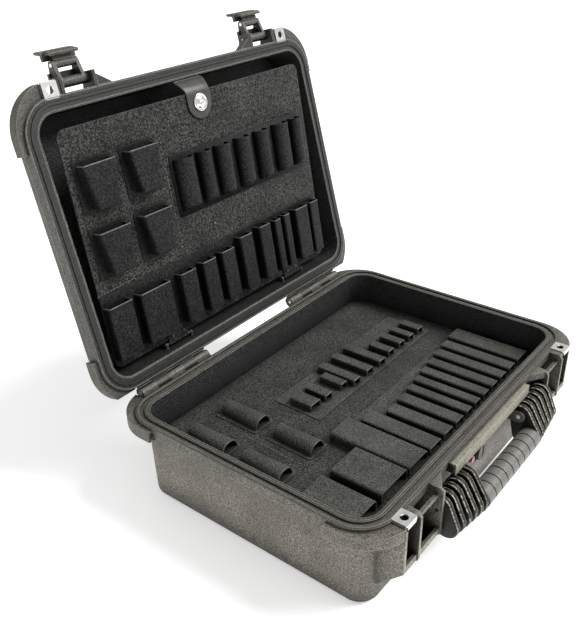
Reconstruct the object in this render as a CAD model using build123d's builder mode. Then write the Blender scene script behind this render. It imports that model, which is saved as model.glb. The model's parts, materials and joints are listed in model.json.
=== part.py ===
"""Open hard tool case: moulded base and hinged lid, latches, handle and two tool pallets.

Millimetres. The case stands on its floor at z = 0, centred on the origin. The handle and the
latches face -Y, the hinges are at +Y and the length runs along X. Whatever rides on the lid is
drawn with the lid shut and is turned open about the hinge line when it is saved.
"""

import os
from math import cos, radians, sin

from build123d import *

os.makedirs("parts", exist_ok=True)

# Mouth of the case, shared by the base and the lid
mouth_length = 425.0
mouth_width = 291.0
mouth_corner = 24.0
rim_height = 113.0
rim_gap = 0.4
wall = 4.0
floor_thickness = 4.0
foot_length = 420.0
foot_width = 295.0
foot_corner = 22.0
floor_round = 9.0

# Rim flange with its hanging skirt
flange_reach = 15.5
flange_thickness = 5.0
skirt_depth = 11.0
skirt_thickness = 3.0

# Weather seal between the rims
seal_offset = 8.4
seal_width = 3.0
seal_height = 3.4
seal_proud = 1.2
seal_clearance = 0.3
base_groove_width = 5.0
base_groove_depth = 2.2

# Lid
lid_depth = 44.5
lid_roof = 4.0
lid_top_length = 424.0
lid_top_width = 290.0
lid_top_round = 8.0
lid_open_angle = 105.0
band_width = 46.0
band_height = 2.5
band_centre = 118.0

# Corner bumpers
bumper_length = 467.0
bumper_width = 353.0
bumper_corner = 50.0
bumper_height = 13.0
bumper_wall = 3.0
bumper_start = 112.0
bumper_drop = 3.0
lid_back_bumper = 163.0
rear_bumper_end = 192.0

# Hinges
hinge_y = 169.5
hinge_z = 112.0
hinge_start = 82.0
knuckle_count = 5
knuckle_length = 21.2
knuckle_gap = 0.4
knuckle_radius = 5.3
hinge_pin_radius = 2.0
hinge_fit = 0.06

# Latch bays, ears and padlock brackets
bay_centre = 147.0
bay_width = 39.0
ear_thickness = 3.5
ear_reach = 177.5
base_ear_top = 109.5
pouch_lip = 62.0
pouch_front = 55.0
pouch_foot = 24.0
pouch_sheet = 3.5
bracket_outer = 194.0
gusset_end = 104.0
plate_steel = 1.5
plate_length = 18.5
plate_width = 17.5
plate_x = 183.5
plate_y = 167.3
plate_corner = 2.0
plate_lip = 5.5
padlock_hole = 4.2
padlock_window = 13.0
bracket_thickness = 5.0

# Latches: a swinging arm on the lid and a pull lever on the arm
arm_pivot_y = -171.0
arm_pivot_z = 126.0
lever_pivot_y = -175.0
lever_pivot_z = 107.0
latch_pin_radius = 2.0
latch_fit = 0.05
latch_seat = 0.02
arm_boss_radius = 5.5
lever_boss_radius = 4.2
cheek_outer = 16.5
cheek_thickness = 4.0
arm_cover_thickness = 3.2
arm_cover_face = -182.0
lever_width = 42.0
lever_tail = 14.5
lever_plate = 3.0
lever_lip = 9.0
hook_inner = 10.4
hook_thickness = 3.0
hook_width = 36.0
catch_top = 103.0
catch_height = 3.5
catch_depth = 4.0
catch_y = -170.5
arm_open_angle = 90.0
side_play = 0.5

# Handle
handle_pivot_y = -172.0
handle_pivot_z = 83.0
handle_pin_radius = 2.5
handle_fit = 0.06
handle_end_outer = 122.9
handle_end_inner = 63.4
handle_top_radius = 13.0
handle_heel_y = -182.0
handle_heel_z = 60.0
handle_heel_radius = 17.0
fin_count = 6
fin_thickness = 5.5
fin_depth = 3.6
grip_y = -187.0
grip_z = 60.0
grip_radius = 12.5
grip_tube_radius = 9.0
grip_groove = 0.8
grip_groove_count = 8
lug_thickness = 3.5
lug_start = 59.5
lug_radius = 7.0
ledge_half = 88.0
ledge_front = -169.5
ledge_top = 110.0
ledge_bottom = 97.0
ledge_wall = 3.0

# Pressure valve
valve_x = 2.0
valve_z = 66.0
valve_plate_length = 44.0
valve_plate_height = 29.0
valve_plate_thickness = 5.5
valve_knob_radius = 11.0
valve_knob_depth = 4.5
valve_stem_radius = 6.0
valve_slot_width = 3.0
nut_radius = 9.0
nut_thickness = 4.0
nut_clearance = 1.5
plug_offset = -20.0
plug_radius = 4.5

# Base pallet
pallet_thickness = 2.5
base_pallet_top = 73.0
base_pallet_margin = 1.0
ledge_width = 8.0
ledge_height = 10.0
ledge_length = 190.0
sheet_thickness = 1.0
seat_gap = 0.1
pocket_wall = 1.2
pocket_round = 2.4
long_pocket_start = -49.0
long_pocket_gap = 7.3
long_pocket_widths = (24.0, 20.0, 18.0, 14.0, 14.0, 15.0, 16.0, 17.0, 18.0, 28.0)
long_pocket_lengths = (88.0, 74.0, 76.0, 79.0, 82.0, 85.0, 88.0, 91.0, 94.0, 97.0)
long_pocket_height = 9.0
front_mouth_y = -121.0
box_lefts = (-92.0, -145.5, -191.0)
box_widths = (38.0, 49.0, 36.0)
box_lengths = (100.0, 62.0, 64.0)
box_heights = (11.0, 14.0, 14.0)
box_margin = 1.4
short_pocket_lefts = (-62.0, -35.0, -5.0, 11.5, 40.0, 67.0, 94.0, 120.0, 143.0, 166.0)
short_pocket_widths = (19.0, 13.0, 13.0, 14.0, 14.0, 14.0, 13.0, 13.0, 12.0, 13.0)
short_pocket_backs = (57.0, 56.0, 56.0, 71.0, 71.0, 71.0, 49.0, 49.0, 48.0, 47.0)
short_pocket_mouths = (28.0, 26.0, 25.0, 17.0, 17.0, 16.0, 19.0, 19.0, 18.0, 18.0)
short_pocket_height = 8.5
holster_columns = (-171.0, -115.0)
holster_mouths = (56.0, -20.0)
holster_length = 53.0
holster_mouth_width = 25.0
holster_closed_width = 20.0
holster_height = 12.5

# Lid pallet, drawn in its own plane: x along the case, y up the board from its pivot line
pallet_pivot_y = 140.5
pallet_pivot_z = 128.2
pallet_lean = 5.0
board_left = -200.0
board_right = 190.0
board_start = 5.0
board_end = 270.0
board_corner = 10.0
tube_centres = (-44.5, -12.0, 20.0, 57.0, 93.0, 132.0, 162.0)
tube_widths = (28.0, 20.0, 23.0, 23.0, 22.0, 26.0, 18.0)
tube_span = (142.0, 204.0)
tube_height = 13.0
tube_round = 5.0
row_lefts = (-199.0, -154.0, -91.0, -54.0, -20.0, 16.0, 53.5, 84.5, 104.0, 129.0, 161.5)
row_widths = (33.0, 46.0, 25.0, 23.0, 23.0, 23.0, 22.0, 12.5, 12.5, 27.0, 18.0)
row_mouths = (78.0, 77.0, 77.0, 78.0, 79.0, 86.0, 87.0, 86.0, 87.0, 87.0, 87.0)
row_bottom = 17.0
row_height = 12.0
wedge_columns = (-166.0, -104.0)
wedge_bottoms = (184.0, 112.0)
wedge_length = 47.0
wedge_mouth_width = 43.0
wedge_closed_width = 27.0
wedge_height = 13.0

# Lid pallet clips, rods and the closing strap
clip_centres = (-105.0, 115.0)
clip_width = 32.0
clip_top = 16.5
clip_thickness = 1.5
clip_round = 8.0
rod_radius = 1.5
rod_fit = 0.1
rod_seat = 0.05
eye_radius = 3.0
bracket_half = 20.5
bracket_ear = 3.0
rivet_radius = 1.8
rivet_height = 0.8
strap_centre = 2.0
strap_width = 39.0
strap_root_width = 46.0
strap_thickness = 2.0
strap_bend = 272.6
strap_tip = 239.0
strap_neck = 284.0
strap_hinge_y = -143.0
strap_hinge_z = 113.8
strap_tab_height = 16.0
strap_gap = 0.3
snap_place = 257.5
snap_radius = 10.5
snap_height = 3.0
stud_radius = 3.0
stud_play = 1.4
tab_rivet_spacing = 26.0
board_rivet = (-10.0, 114.0)
clip_rivet_spacing = 18.0

# Sizes that follow from the ones above
half_length = mouth_length / 2
half_width = mouth_width / 2
outer_length = mouth_length + 2 * wall
outer_width = mouth_width + 2 * wall
flange_length = mouth_length + 2 * flange_reach
flange_width = mouth_width + 2 * flange_reach
flange_corner = mouth_corner + flange_reach
flange_half = flange_width / 2
lid_rim = rim_height + rim_gap
lid_ceiling = lid_rim + lid_depth
lid_top = lid_ceiling + lid_roof
bay_left = bay_centre - bay_width / 2
bay_right = bay_centre + bay_width / 2
wall_root = -(foot_width / 2 - 1.0)
pouch_face = -ear_reach + 1.5
bumper_low = rim_height - bumper_drop - bumper_height
lid_bumper_low = lid_rim + bumper_drop
bracket_top = rim_height - plate_steel
lid_bracket_low = lid_rim + plate_steel
plate_front = -(plate_y + plate_width / 2)
sides = (-1, 1)

lid_turn = (
    Location((0, hinge_y, hinge_z), (-lid_open_angle, 0, 0)) * Location((0, -hinge_y, -hinge_z))
)
pallet_plane = Plane(
    origin=(0, pallet_pivot_y, pallet_pivot_z),
    x_dir=(1, 0, 0),
    z_dir=(0, sin(radians(pallet_lean)), -cos(radians(pallet_lean))),
)
arm_turn = Location((0, arm_pivot_y, arm_pivot_z), (-arm_open_angle, 0, 0)) * Location(
    (0, -arm_pivot_y, -arm_pivot_z)
)


def save(block, name, place=Location()):
    """Turn a finished block into place, label it and write its file."""
    piece = place * block.part
    piece.label = name
    export_step(piece, f"parts/{name}.step")


def board_point(up, out):
    """Find (y, z) of a point up the lid pallet's board and out from its middle plane."""
    lean = radians(pallet_lean)
    return (
        pallet_pivot_y - up * cos(lean) + out * sin(lean),
        pallet_pivot_z - up * sin(lean) - out * cos(lean),
    )


def rounded_ring(outer_offset, inner_offset):
    """Draw a ring around the mouth between two offsets from its edge."""
    RectangleRounded(
        mouth_length + 2 * outer_offset, mouth_width + 2 * outer_offset, mouth_corner + outer_offset
    )
    RectangleRounded(
        mouth_length + 2 * inner_offset,
        mouth_width + 2 * inner_offset,
        mouth_corner + inner_offset,
        mode=Mode.SUBTRACT,
    )


def side_profile(points, start_x, thickness, mode=Mode.ADD):
    """Extrude an outline given in (y, z) along the length of the case."""
    with BuildSketch(Plane.YZ.offset(start_x)) as outline:
        with BuildLine():
            Polyline(*points, close=True)
        make_face()
    extrude(outline.sketch, amount=thickness, mode=mode)


def hull_profile(circles, start_x, thickness, mode=Mode.ADD):
    """Extrude the hull of circles given as (y, z, radius) along the length of the case."""
    with BuildSketch(Plane.YZ.offset(start_x)) as outline:
        for y, z, radius in circles:
            with Locations((y, z)):
                Circle(radius)
        make_hull()
    extrude(outline.sketch, amount=thickness, mode=mode)


def cross_bore(y, z, radius, start_x, length, mode=Mode.SUBTRACT):
    """Run a round bore or rod along the length of the case."""
    with BuildSketch(Plane.YZ.offset(start_x)) as outline:
        with Locations((y, z)):
            Circle(radius)
    extrude(outline.sketch, amount=length, mode=mode)


def block_between(low, high, mode=Mode.ADD):
    """Add a plain block between two opposite corners."""
    with Locations(tuple((a + b) / 2 for a, b in zip(low, high))):
        Box(*(abs(b - a) for a, b in zip(low, high)), mode=mode)


def corner_windows(front_end, back_end, front_edge, back_edge):
    """Keep only the four corners of a sketch that spans the whole case."""
    reach = bumper_length
    with BuildSketch(mode=Mode.PRIVATE) as windows:
        for side in sides:
            with Locations((side * (front_end + reach / 2), -(bumper_start + front_edge) / 2)):
                Rectangle(reach, front_edge - bumper_start)
            with Locations((side * (back_end + reach / 2), (bumper_start + back_edge) / 2)):
                Rectangle(reach, back_edge - bumper_start)
    add(windows.sketch, mode=Mode.INTERSECT)


def corner_bumpers(low, back_edge, hollow_low):
    """Add the four corner bumpers, hollow on the side away from the rim."""
    half = bumper_width / 2
    with BuildSketch(Plane.XY.offset(low)) as solid_plan:
        RectangleRounded(bumper_length, bumper_width, bumper_corner)
        corner_windows(bracket_outer - 1.0, rear_bumper_end, half, back_edge)
        RectangleRounded(outer_length, outer_width, mouth_corner + wall, mode=Mode.SUBTRACT)
    extrude(solid_plan.sketch, amount=bumper_height)
    with BuildSketch(Plane.XY.offset(hollow_low)) as hollow_plan:
        inset = 2 * bumper_wall
        RectangleRounded(bumper_length - inset, bumper_width - inset, bumper_corner - bumper_wall)
        corner_windows(
            bracket_outer + bumper_wall,
            rear_bumper_end + bumper_wall,
            half - bumper_wall,
            back_edge - bumper_wall,
        )
        RectangleRounded(flange_length, flange_width, flange_corner, mode=Mode.SUBTRACT)
    extrude(hollow_plan.sketch, amount=bumper_height - bumper_wall, mode=Mode.SUBTRACT)


def flange_with_skirt(low, hollow_low):
    """Add the rim flange and cut the trough between its skirt and the wall."""
    with BuildSketch(Plane.XY.offset(low)) as flange_plan:
        rounded_ring(flange_reach, 0.0)
    extrude(flange_plan.sketch, amount=skirt_depth)
    with BuildSketch(Plane.XY.offset(hollow_low)) as trough_plan:
        rounded_ring(flange_reach - skirt_thickness, wall)
    extrude(trough_plan.sketch, amount=skirt_depth - flange_thickness, mode=Mode.SUBTRACT)


def knuckles(first, web_low, web_high):
    """Add every second hinge knuckle, starting with the given one, on both hinges."""
    pitch = knuckle_length + knuckle_gap
    for side in sides:
        for index in range(first, knuckle_count, 2):
            near = hinge_start + index * pitch
            start = near if side > 0 else -near - knuckle_length
            cross_bore(hinge_y, hinge_z, knuckle_radius, start, knuckle_length, Mode.ADD)
            side_profile(
                (
                    (flange_half - skirt_thickness, web_low),
                    (hinge_y, web_low),
                    (hinge_y, web_high),
                    (flange_half - skirt_thickness, web_high),
                ),
                start,
                knuckle_length,
            )
        near = hinge_start - knuckle_gap
        length = knuckle_count * pitch + knuckle_gap
        start = near if side > 0 else -near - length
        cross_bore(hinge_y, hinge_z, hinge_pin_radius + hinge_fit, start, length)


def latch_ears(outline, with_rounds):
    """Add the two ears beside each latch bay, as a polygon or as a hull of circles."""
    for side in sides:
        for edge in (bay_left - ear_thickness, bay_right):
            start = edge if side > 0 else -edge - ear_thickness
            if with_rounds:
                hull_profile(outline, start, ear_thickness)
            else:
                side_profile(outline, start, ear_thickness)


def gussets(low, high):
    """Add the tapered gusset that runs from each inner ear back into the flange."""
    for side in sides:
        with BuildSketch(Plane.XY.offset(low)) as gusset_plan:
            with BuildLine():
                Polyline(
                    (side * bay_left, -flange_half + skirt_thickness),
                    (side * bay_left, -ear_reach + 4.0),
                    (side * (bay_left - ear_thickness), -ear_reach + 4.0),
                    (side * gusset_end, -flange_half),
                    (side * gusset_end, -flange_half + skirt_thickness),
                    close=True,
                )
            make_face()
        extrude(gusset_plan.sketch, amount=high - low)


def padlock_brackets(low, seat_low):
    """Add the two padlock brackets, each with a square window and a seat for its steel plate."""
    for side in sides:
        outer = side * bracket_outer
        inner = side * bay_right
        block_between(
            (outer, plate_front + plate_steel, low), (inner, wall_root, low + bracket_thickness)
        )
        with BuildSketch(Plane.XY.offset(low)) as window:
            with Locations((side * plate_x, -plate_y)):
                Rectangle(padlock_window, padlock_window)
        extrude(window.sketch, amount=bracket_thickness, mode=Mode.SUBTRACT)
        block_between(
            (side * (plate_x - plate_length / 2 - seat_gap), -flange_half - 1.0, seat_low),
            (
                side * (plate_x + plate_length / 2 + seat_gap),
                plate_front + plate_width + seat_gap,
                seat_low + plate_steel,
            ),
            Mode.SUBTRACT,
        )


def raise_pocket(centre, closed_width, mouth_width, closed_y, mouth_y, sheet, height, corner):
    """Raise one tool pocket from a sheet: closed at one end, open at its mouth."""
    toward_mouth = 1 if mouth_y > closed_y else -1
    cuts = (
        (0.0, closed_y, sheet, Mode.ADD),
        (pocket_wall, closed_y + toward_mouth * pocket_wall, sheet, Mode.SUBTRACT),
    )
    for shrink, start, floor, mode in cuts:
        tall = height - shrink
        ends = []
        for y, width in ((start, closed_width), (mouth_y, mouth_width)):
            with BuildSketch(Plane.XZ.offset(-y)) as outline:
                with Locations((centre, floor + tall / 2)):
                    Rectangle(width - 2 * shrink, tall)
                crown = outline.vertices().group_by(Axis.Y)[-1]
                fillet(crown, min(corner - shrink / 2, width / 2 - shrink - 0.2))
            ends.append(outline.sketch)
        loft(ends, mode=mode)


def pocket_sheet(left, right, back, front, low):
    """Lay the thin stitched sheet that a group of pockets is raised from."""
    with BuildSketch(Plane.XY.offset(low)) as sheet:
        with Locations(((left + right) / 2, (back + front) / 2)):
            RectangleRounded(right - left, abs(back - front), 3.0)
    extrude(sheet.sketch, amount=sheet_thickness)


# Base shell: tapered tub, flange and skirt, bumpers, hinge knuckles and front mouldings
with BuildPart() as base_shell:
    with BuildSketch():
        RectangleRounded(foot_length, foot_width, foot_corner)
    with BuildSketch(Plane.XY.offset(rim_height)):
        RectangleRounded(outer_length, outer_width, mouth_corner + wall)
    loft()
    fillet(base_shell.edges().group_by(Axis.Z)[0], floor_round)
    flange_with_skirt(rim_height - skirt_depth, rim_height - skirt_depth)
    corner_bumpers(bumper_low, bumper_width / 2, bumper_low)
    knuckles(0, hinge_z - knuckle_radius, hinge_z + 0.6)
    latch_ears(
        (
            (wall_root, pouch_foot),
            (-ear_reach, pouch_front),
            (-ear_reach, base_ear_top - 3.0),
            (-ear_reach + 3.0, base_ear_top),
            (wall_root, base_ear_top),
        ),
        False,
    )
    gussets(rim_height - skirt_depth, rim_height - 2.0)
    padlock_brackets(bracket_top - bracket_thickness, bracket_top)
    # Rib beyond each padlock bracket and the sloping pouch sheet under bracket and bay
    for side in sides:
        rib = bracket_outer - ear_thickness
        side_profile(
            (
                (wall_root, pouch_foot),
                (pouch_face, pouch_front),
                (pouch_face, bracket_top - bracket_thickness),
                (wall_root, bracket_top - bracket_thickness),
            ),
            rib if side > 0 else -rib - ear_thickness,
            ear_thickness,
        )
        pouch_start = bay_left - ear_thickness
        pouch_length = bracket_outer - pouch_start
        side_profile(
            (
                (wall_root, pouch_foot),
                (pouch_face, pouch_front),
                (pouch_face, pouch_lip),
                (pouch_face + pouch_sheet, pouch_lip),
                (pouch_face + pouch_sheet, pouch_front + 2.0),
                (wall_root, pouch_foot + 1.6 * pouch_sheet),
            ),
            pouch_start if side > 0 else -pouch_start - pouch_length,
            pouch_length,
        )
        # Catch bar across the bay
        side_profile(
            (
                (catch_y - catch_depth / 2, catch_top - catch_height),
                (catch_y + catch_depth / 2, catch_top - catch_height),
                (catch_y + catch_depth / 2, catch_top),
                (catch_y - catch_depth / 2, catch_top),
            ),
            bay_left if side > 0 else -bay_right,
            bay_width,
        )
        # Inner lug of the handle and the bore through lug and ear
        hull_profile(
            ((handle_pivot_y, handle_pivot_z, lug_radius), (wall_root, handle_pivot_z, lug_radius)),
            side * lug_start if side > 0 else side * lug_start - lug_thickness,
            lug_thickness,
        )
        start = lug_start if side > 0 else -bay_left
        cross_bore(
            handle_pivot_y,
            handle_pivot_z,
            handle_pin_radius + handle_fit,
            start,
            bay_left - lug_start,
        )
    # Plain ledge over the handle
    side_profile(
        (
            (-flange_half + skirt_thickness, ledge_top),
            (ledge_front, ledge_top),
            (ledge_front, ledge_bottom),
            (ledge_front + ledge_wall, ledge_bottom),
            (ledge_front + ledge_wall, ledge_top - ledge_wall),
            (-flange_half + skirt_thickness, ledge_top - ledge_wall),
        ),
        -ledge_half,
        2 * ledge_half,
    )
    # Inside of the tub
    with BuildSketch(Plane.XY.offset(floor_thickness)):
        RectangleRounded(foot_length - 2 * wall, foot_width - 2 * wall, foot_corner - 2.0)
    with BuildSketch(Plane.XY.offset(rim_height)):
        RectangleRounded(mouth_length, mouth_width, mouth_corner)
    loft(mode=Mode.SUBTRACT)
    # Seal groove in the rim
    with BuildSketch(Plane.XY.offset(rim_height - base_groove_depth)):
        rounded_ring(seal_offset + base_groove_width / 2, seal_offset - base_groove_width / 2)
    extrude(amount=base_groove_depth, mode=Mode.SUBTRACT)
    # Ledges that carry the pallet along both ends
    pallet_under = base_pallet_top - pallet_thickness
    for side in sides:
        block_between(
            (side * foot_length / 2, -ledge_length / 2, pallet_under - ledge_height),
            (side * (foot_length / 2 - wall - ledge_width), ledge_length / 2, pallet_under),
        )
    # Hole for the valve stem
    with BuildSketch(Plane.XZ.offset(foot_width / 2 - wall - 6.0)):
        with Locations((valve_x, valve_z)):
            Circle(valve_stem_radius + 0.1)
    extrude(amount=wall + 12.0, mode=Mode.SUBTRACT)
save(base_shell, "base_shell")

# Lid shell, drawn shut
with BuildPart() as lid_shell:
    with BuildSketch(Plane.XY.offset(lid_rim)):
        RectangleRounded(outer_length, outer_width, mouth_corner + wall)
    with BuildSketch(Plane.XY.offset(lid_top)):
        RectangleRounded(lid_top_length, lid_top_width, mouth_corner)
    loft()
    fillet(lid_shell.edges().group_by(Axis.Z)[-1], lid_top_round)
    flange_with_skirt(lid_rim, lid_rim + flange_thickness)
    corner_bumpers(lid_bumper_low, lid_back_bumper, lid_bumper_low + bumper_wall)
    knuckles(1, lid_rim, hinge_z + knuckle_radius)
    latch_ears(
        (
            (wall_root, lid_rim + 1.0, 1.0),
            (1.0 - ear_reach, lid_rim + 1.0, 1.0),
            (arm_pivot_y, arm_pivot_z, ear_reach + arm_pivot_y),
            (wall_root, arm_pivot_z + 14.0, 1.0),
        ),
        True,
    )
    gussets(lid_rim + 0.6, lid_rim + skirt_depth)
    padlock_brackets(lid_bracket_low, lid_rim)
    for side in sides:
        ears = bay_width + 2 * ear_thickness
        start = bay_left - ear_thickness if side > 0 else -bay_right - ear_thickness
        cross_bore(arm_pivot_y, arm_pivot_z, latch_pin_radius + latch_fit, start, ears)
    # Two broad stiffening bands across the top
    with BuildSketch(Plane.XY.offset(lid_top)):
        for side in sides:
            with Locations((side * band_centre, 0)):
                RectangleRounded(band_width, lid_top_width - 50.0, 8.0)
    extrude(amount=band_height, taper=30)
    # Inside of the lid
    with BuildSketch(Plane.XY.offset(lid_rim)):
        RectangleRounded(mouth_length, mouth_width, mouth_corner)
    with BuildSketch(Plane.XY.offset(lid_ceiling)):
        RectangleRounded(lid_top_length - 2 * wall, lid_top_width - 2 * wall, mouth_corner - 2.0)
    loft(mode=Mode.SUBTRACT)
    # Groove that holds the seal
    held = seal_height - seal_proud
    with BuildSketch(Plane.XY.offset(lid_rim)):
        half_groove = seal_width / 2 + seal_clearance
        rounded_ring(seal_offset + half_groove, seal_offset - half_groove)
    extrude(amount=held, mode=Mode.SUBTRACT)
    # Ears that hold the pallet rods on the hinge-side wall
    for centre in clip_centres:
        for side in sides:
            start = centre + side * bracket_half - bracket_ear / 2
            hull_profile(
                (
                    (pallet_pivot_y, pallet_pivot_z, eye_radius),
                    (half_width - 2.0, pallet_pivot_z, eye_radius),
                ),
                start,
                bracket_ear,
            )
            cross_bore(pallet_pivot_y, pallet_pivot_z, rod_radius + rod_seat, start, bracket_ear)
save(lid_shell, "lid_shell", lid_turn)

# Seal bead seated in the lid groove
with BuildPart() as lid_seal:
    with BuildSketch(Plane.XY.offset(lid_rim - seal_proud)):
        rounded_ring(seal_offset + seal_width / 2, seal_offset - seal_width / 2)
    extrude(amount=seal_height)
save(lid_seal, "lid_seal", lid_turn)

# Hinge pins
for side, hand in ((-1, "left"), (1, "right")):
    pin_length = knuckle_count * (knuckle_length + knuckle_gap) - knuckle_gap
    with BuildPart() as hinge_pin:
        pin_start = hinge_start if side > 0 else -hinge_start - pin_length
        cross_bore(hinge_y, hinge_z, hinge_pin_radius, pin_start, pin_length, Mode.ADD)
    save(hinge_pin, f"hinge_pin_{hand}")

# Steel padlock plates: a folded front lip and a round hole
for side, hand in ((-1, "left"), (1, "right")):
    for name, low, lip_low, place in (
        ("base", bracket_top, rim_height - plate_lip, Location()),
        ("lid", lid_rim, lid_rim, lid_turn),
    ):
        with BuildPart() as padlock_plate:
            with BuildSketch(Plane.XY.offset(low)):
                with Locations((side * plate_x, -plate_y)):
                    RectangleRounded(plate_length, plate_width, plate_corner)
            extrude(amount=plate_steel)
            lip_half = plate_length / 2 - plate_corner
            block_between(
                (side * plate_x - lip_half, plate_front, lip_low),
                (side * plate_x + lip_half, plate_front + plate_steel, lip_low + plate_lip),
            )
            with BuildSketch(Plane.XY.offset(low)):
                with Locations((side * plate_x, -plate_y)):
                    Circle(padlock_hole)
            extrude(amount=plate_steel, mode=Mode.SUBTRACT)
        save(padlock_plate, f"{name}_padlock_plate_{hand}", place)

# Latches: arm, lever and their pins, drawn shut and swung open with the arm
for side, hand in ((-1, "left"), (1, "right")):
    middle = side * bay_centre
    with BuildPart() as latch_arm:
        barrel_half = bay_width / 2 - side_play
        cover_low = lever_pivot_z + lever_boss_radius + 3.3
        # Barrel on the lid pin with the cover plate that hangs from it
        with BuildSketch(Plane.YZ.offset(middle - barrel_half)):
            with Locations((arm_pivot_y, arm_pivot_z)):
                Circle(arm_boss_radius)
            with BuildLine():
                Polyline(
                    (arm_cover_face, cover_low),
                    (arm_cover_face, arm_pivot_z + 1.0),
                    (arm_pivot_y - 1.0, arm_pivot_z + arm_boss_radius - 0.4),
                    (arm_pivot_y, arm_pivot_z),
                    (arm_cover_face + arm_cover_thickness, arm_pivot_z - 4.0),
                    (arm_cover_face + arm_cover_thickness, cover_low),
                    close=True,
                )
            make_face()
        extrude(amount=2 * barrel_half)
        # Cheeks that carry the lever pin
        for cheek in sides:
            cheek_start = middle + (cheek_outer - cheek_thickness if cheek > 0 else -cheek_outer)
            hull_profile(
                (
                    (arm_pivot_y, arm_pivot_z, arm_boss_radius - 0.5),
                    (lever_pivot_y, lever_pivot_z, lever_boss_radius),
                    (arm_cover_face + 2.0, cover_low + 1.5, 1.0),
                ),
                cheek_start,
                cheek_thickness,
            )
        bore_start = middle - barrel_half
        cross_bore(
            arm_pivot_y, arm_pivot_z, latch_pin_radius + latch_fit, bore_start, 2 * barrel_half
        )
        cross_bore(
            lever_pivot_y,
            lever_pivot_z,
            latch_pin_radius + latch_seat,
            middle - cheek_outer,
            2 * cheek_outer,
        )
    save(latch_arm, f"latch_arm_{hand}", lid_turn * arm_turn)

    with BuildPart() as latch_lever:
        hub_half = cheek_outer - cheek_thickness - side_play
        tail_low = lever_pivot_z - lever_tail
        tail_face = arm_cover_face
        cross_bore(
            lever_pivot_y, lever_pivot_z, lever_boss_radius, middle - hub_half, 2 * hub_half, Mode.ADD
        )
        # Web from the hub to the hook and the pull plate
        side_profile(
            (
                (lever_pivot_y + 2.0, lever_pivot_z),
                (lever_pivot_y - 2.0, lever_pivot_z),
                (tail_face + 1.0, lever_pivot_z - 6.0),
                (tail_face + 1.0, tail_low + 3.0),
                (lever_pivot_y - 1.0, lever_pivot_z - hook_inner - 1.0),
                (lever_pivot_y + 1.0, lever_pivot_z - hook_inner - 1.0),
            ),
            middle - hub_half,
            2 * hub_half,
        )
        # Pull plate with its outward lip
        side_profile(
            (
                (tail_face, lever_pivot_z - 4.5),
                (tail_face, tail_low + 3.5),
                (tail_face - lever_lip, tail_low + 1.5),
                (tail_face - lever_lip, tail_low - 1.5),
                (tail_face + lever_plate, tail_low),
                (tail_face + lever_plate, lever_pivot_z - 4.5),
            ),
            middle - lever_width / 2,
            lever_width,
        )
        with BuildSketch(Plane.YZ.offset(middle - hook_width / 2)):
            with Locations((lever_pivot_y, lever_pivot_z)):
                Circle(hook_inner + hook_thickness)
                Circle(hook_inner, mode=Mode.SUBTRACT)
            with BuildLine():
                Polyline(
                    (lever_pivot_y, lever_pivot_z),
                    (lever_pivot_y - 11.0, lever_pivot_z - 20.0),
                    (lever_pivot_y + 14.0, lever_pivot_z - 20.0),
                    close=True,
                )
            make_face(mode=Mode.INTERSECT)
        extrude(amount=hook_width)
        cross_bore(
            lever_pivot_y, lever_pivot_z, latch_pin_radius + latch_fit, middle - hub_half, 2 * hub_half
        )
    save(latch_lever, f"latch_lever_{hand}", lid_turn * arm_turn)

    with BuildPart() as latch_pin:
        pin_half = bay_width / 2 + ear_thickness
        cross_bore(
            arm_pivot_y, arm_pivot_z, latch_pin_radius, middle - pin_half, 2 * pin_half, Mode.ADD
        )
    save(latch_pin, f"latch_pin_{hand}", lid_turn)

    with BuildPart() as lever_pin:
        cross_bore(
            lever_pivot_y,
            lever_pivot_z,
            latch_pin_radius,
            middle - cheek_outer,
            2 * cheek_outer,
            Mode.ADD,
        )
    save(lever_pin, f"lever_pin_{hand}", lid_turn * arm_turn)

# Handle: finned end blocks on a through tube
fin_pitch = (handle_end_outer - handle_end_inner - fin_thickness) / (fin_count - 1)
with BuildPart() as handle_frame:
    for side in sides:
        block_length = handle_end_outer - handle_end_inner
        block_start = handle_end_inner if side > 0 else -handle_end_outer
        hull_profile(
            (
                (handle_pivot_y, handle_pivot_z, handle_top_radius - fin_depth),
                (handle_heel_y, handle_heel_z, handle_heel_radius - fin_depth),
            ),
            block_start,
            block_length,
        )
        for index in range(fin_count):
            fin_start = block_start + index * fin_pitch
            hull_profile(
                (
                    (handle_pivot_y, handle_pivot_z, handle_top_radius),
                    (handle_heel_y, handle_heel_z, handle_heel_radius),
                ),
                fin_start,
                fin_thickness,
            )
        cross_bore(
            handle_pivot_y,
            handle_pivot_z,
            handle_pin_radius + handle_fit,
            block_start,
            block_length,
        )
    cross_bore(
        grip_y, grip_z, grip_tube_radius, -handle_end_inner, 2 * handle_end_inner, Mode.ADD
    )
save(handle_frame, "handle_frame")

# Soft grip sleeve with finger rings
with BuildPart() as handle_grip:
    sleeve = 2 * handle_end_inner - 0.6
    with BuildSketch(Plane.YZ.offset(-sleeve / 2)):
        with Locations((grip_y, grip_z)):
            Circle(grip_radius)
            Circle(grip_tube_radius + 0.05, mode=Mode.SUBTRACT)
    extrude(amount=sleeve)
    ring_pitch = sleeve / (grip_groove_count + 1)
    for index in range(grip_groove_count):
        ring_x = -sleeve / 2 + (index + 1) * ring_pitch
        with BuildSketch(Plane.YZ.offset(ring_x - 0.8)):
            with Locations((grip_y, grip_z)):
                Circle(grip_radius + 1.0)
                Circle(grip_radius - grip_groove, mode=Mode.SUBTRACT)
        extrude(amount=1.6, mode=Mode.SUBTRACT)
save(handle_grip, "handle_grip")

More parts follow.
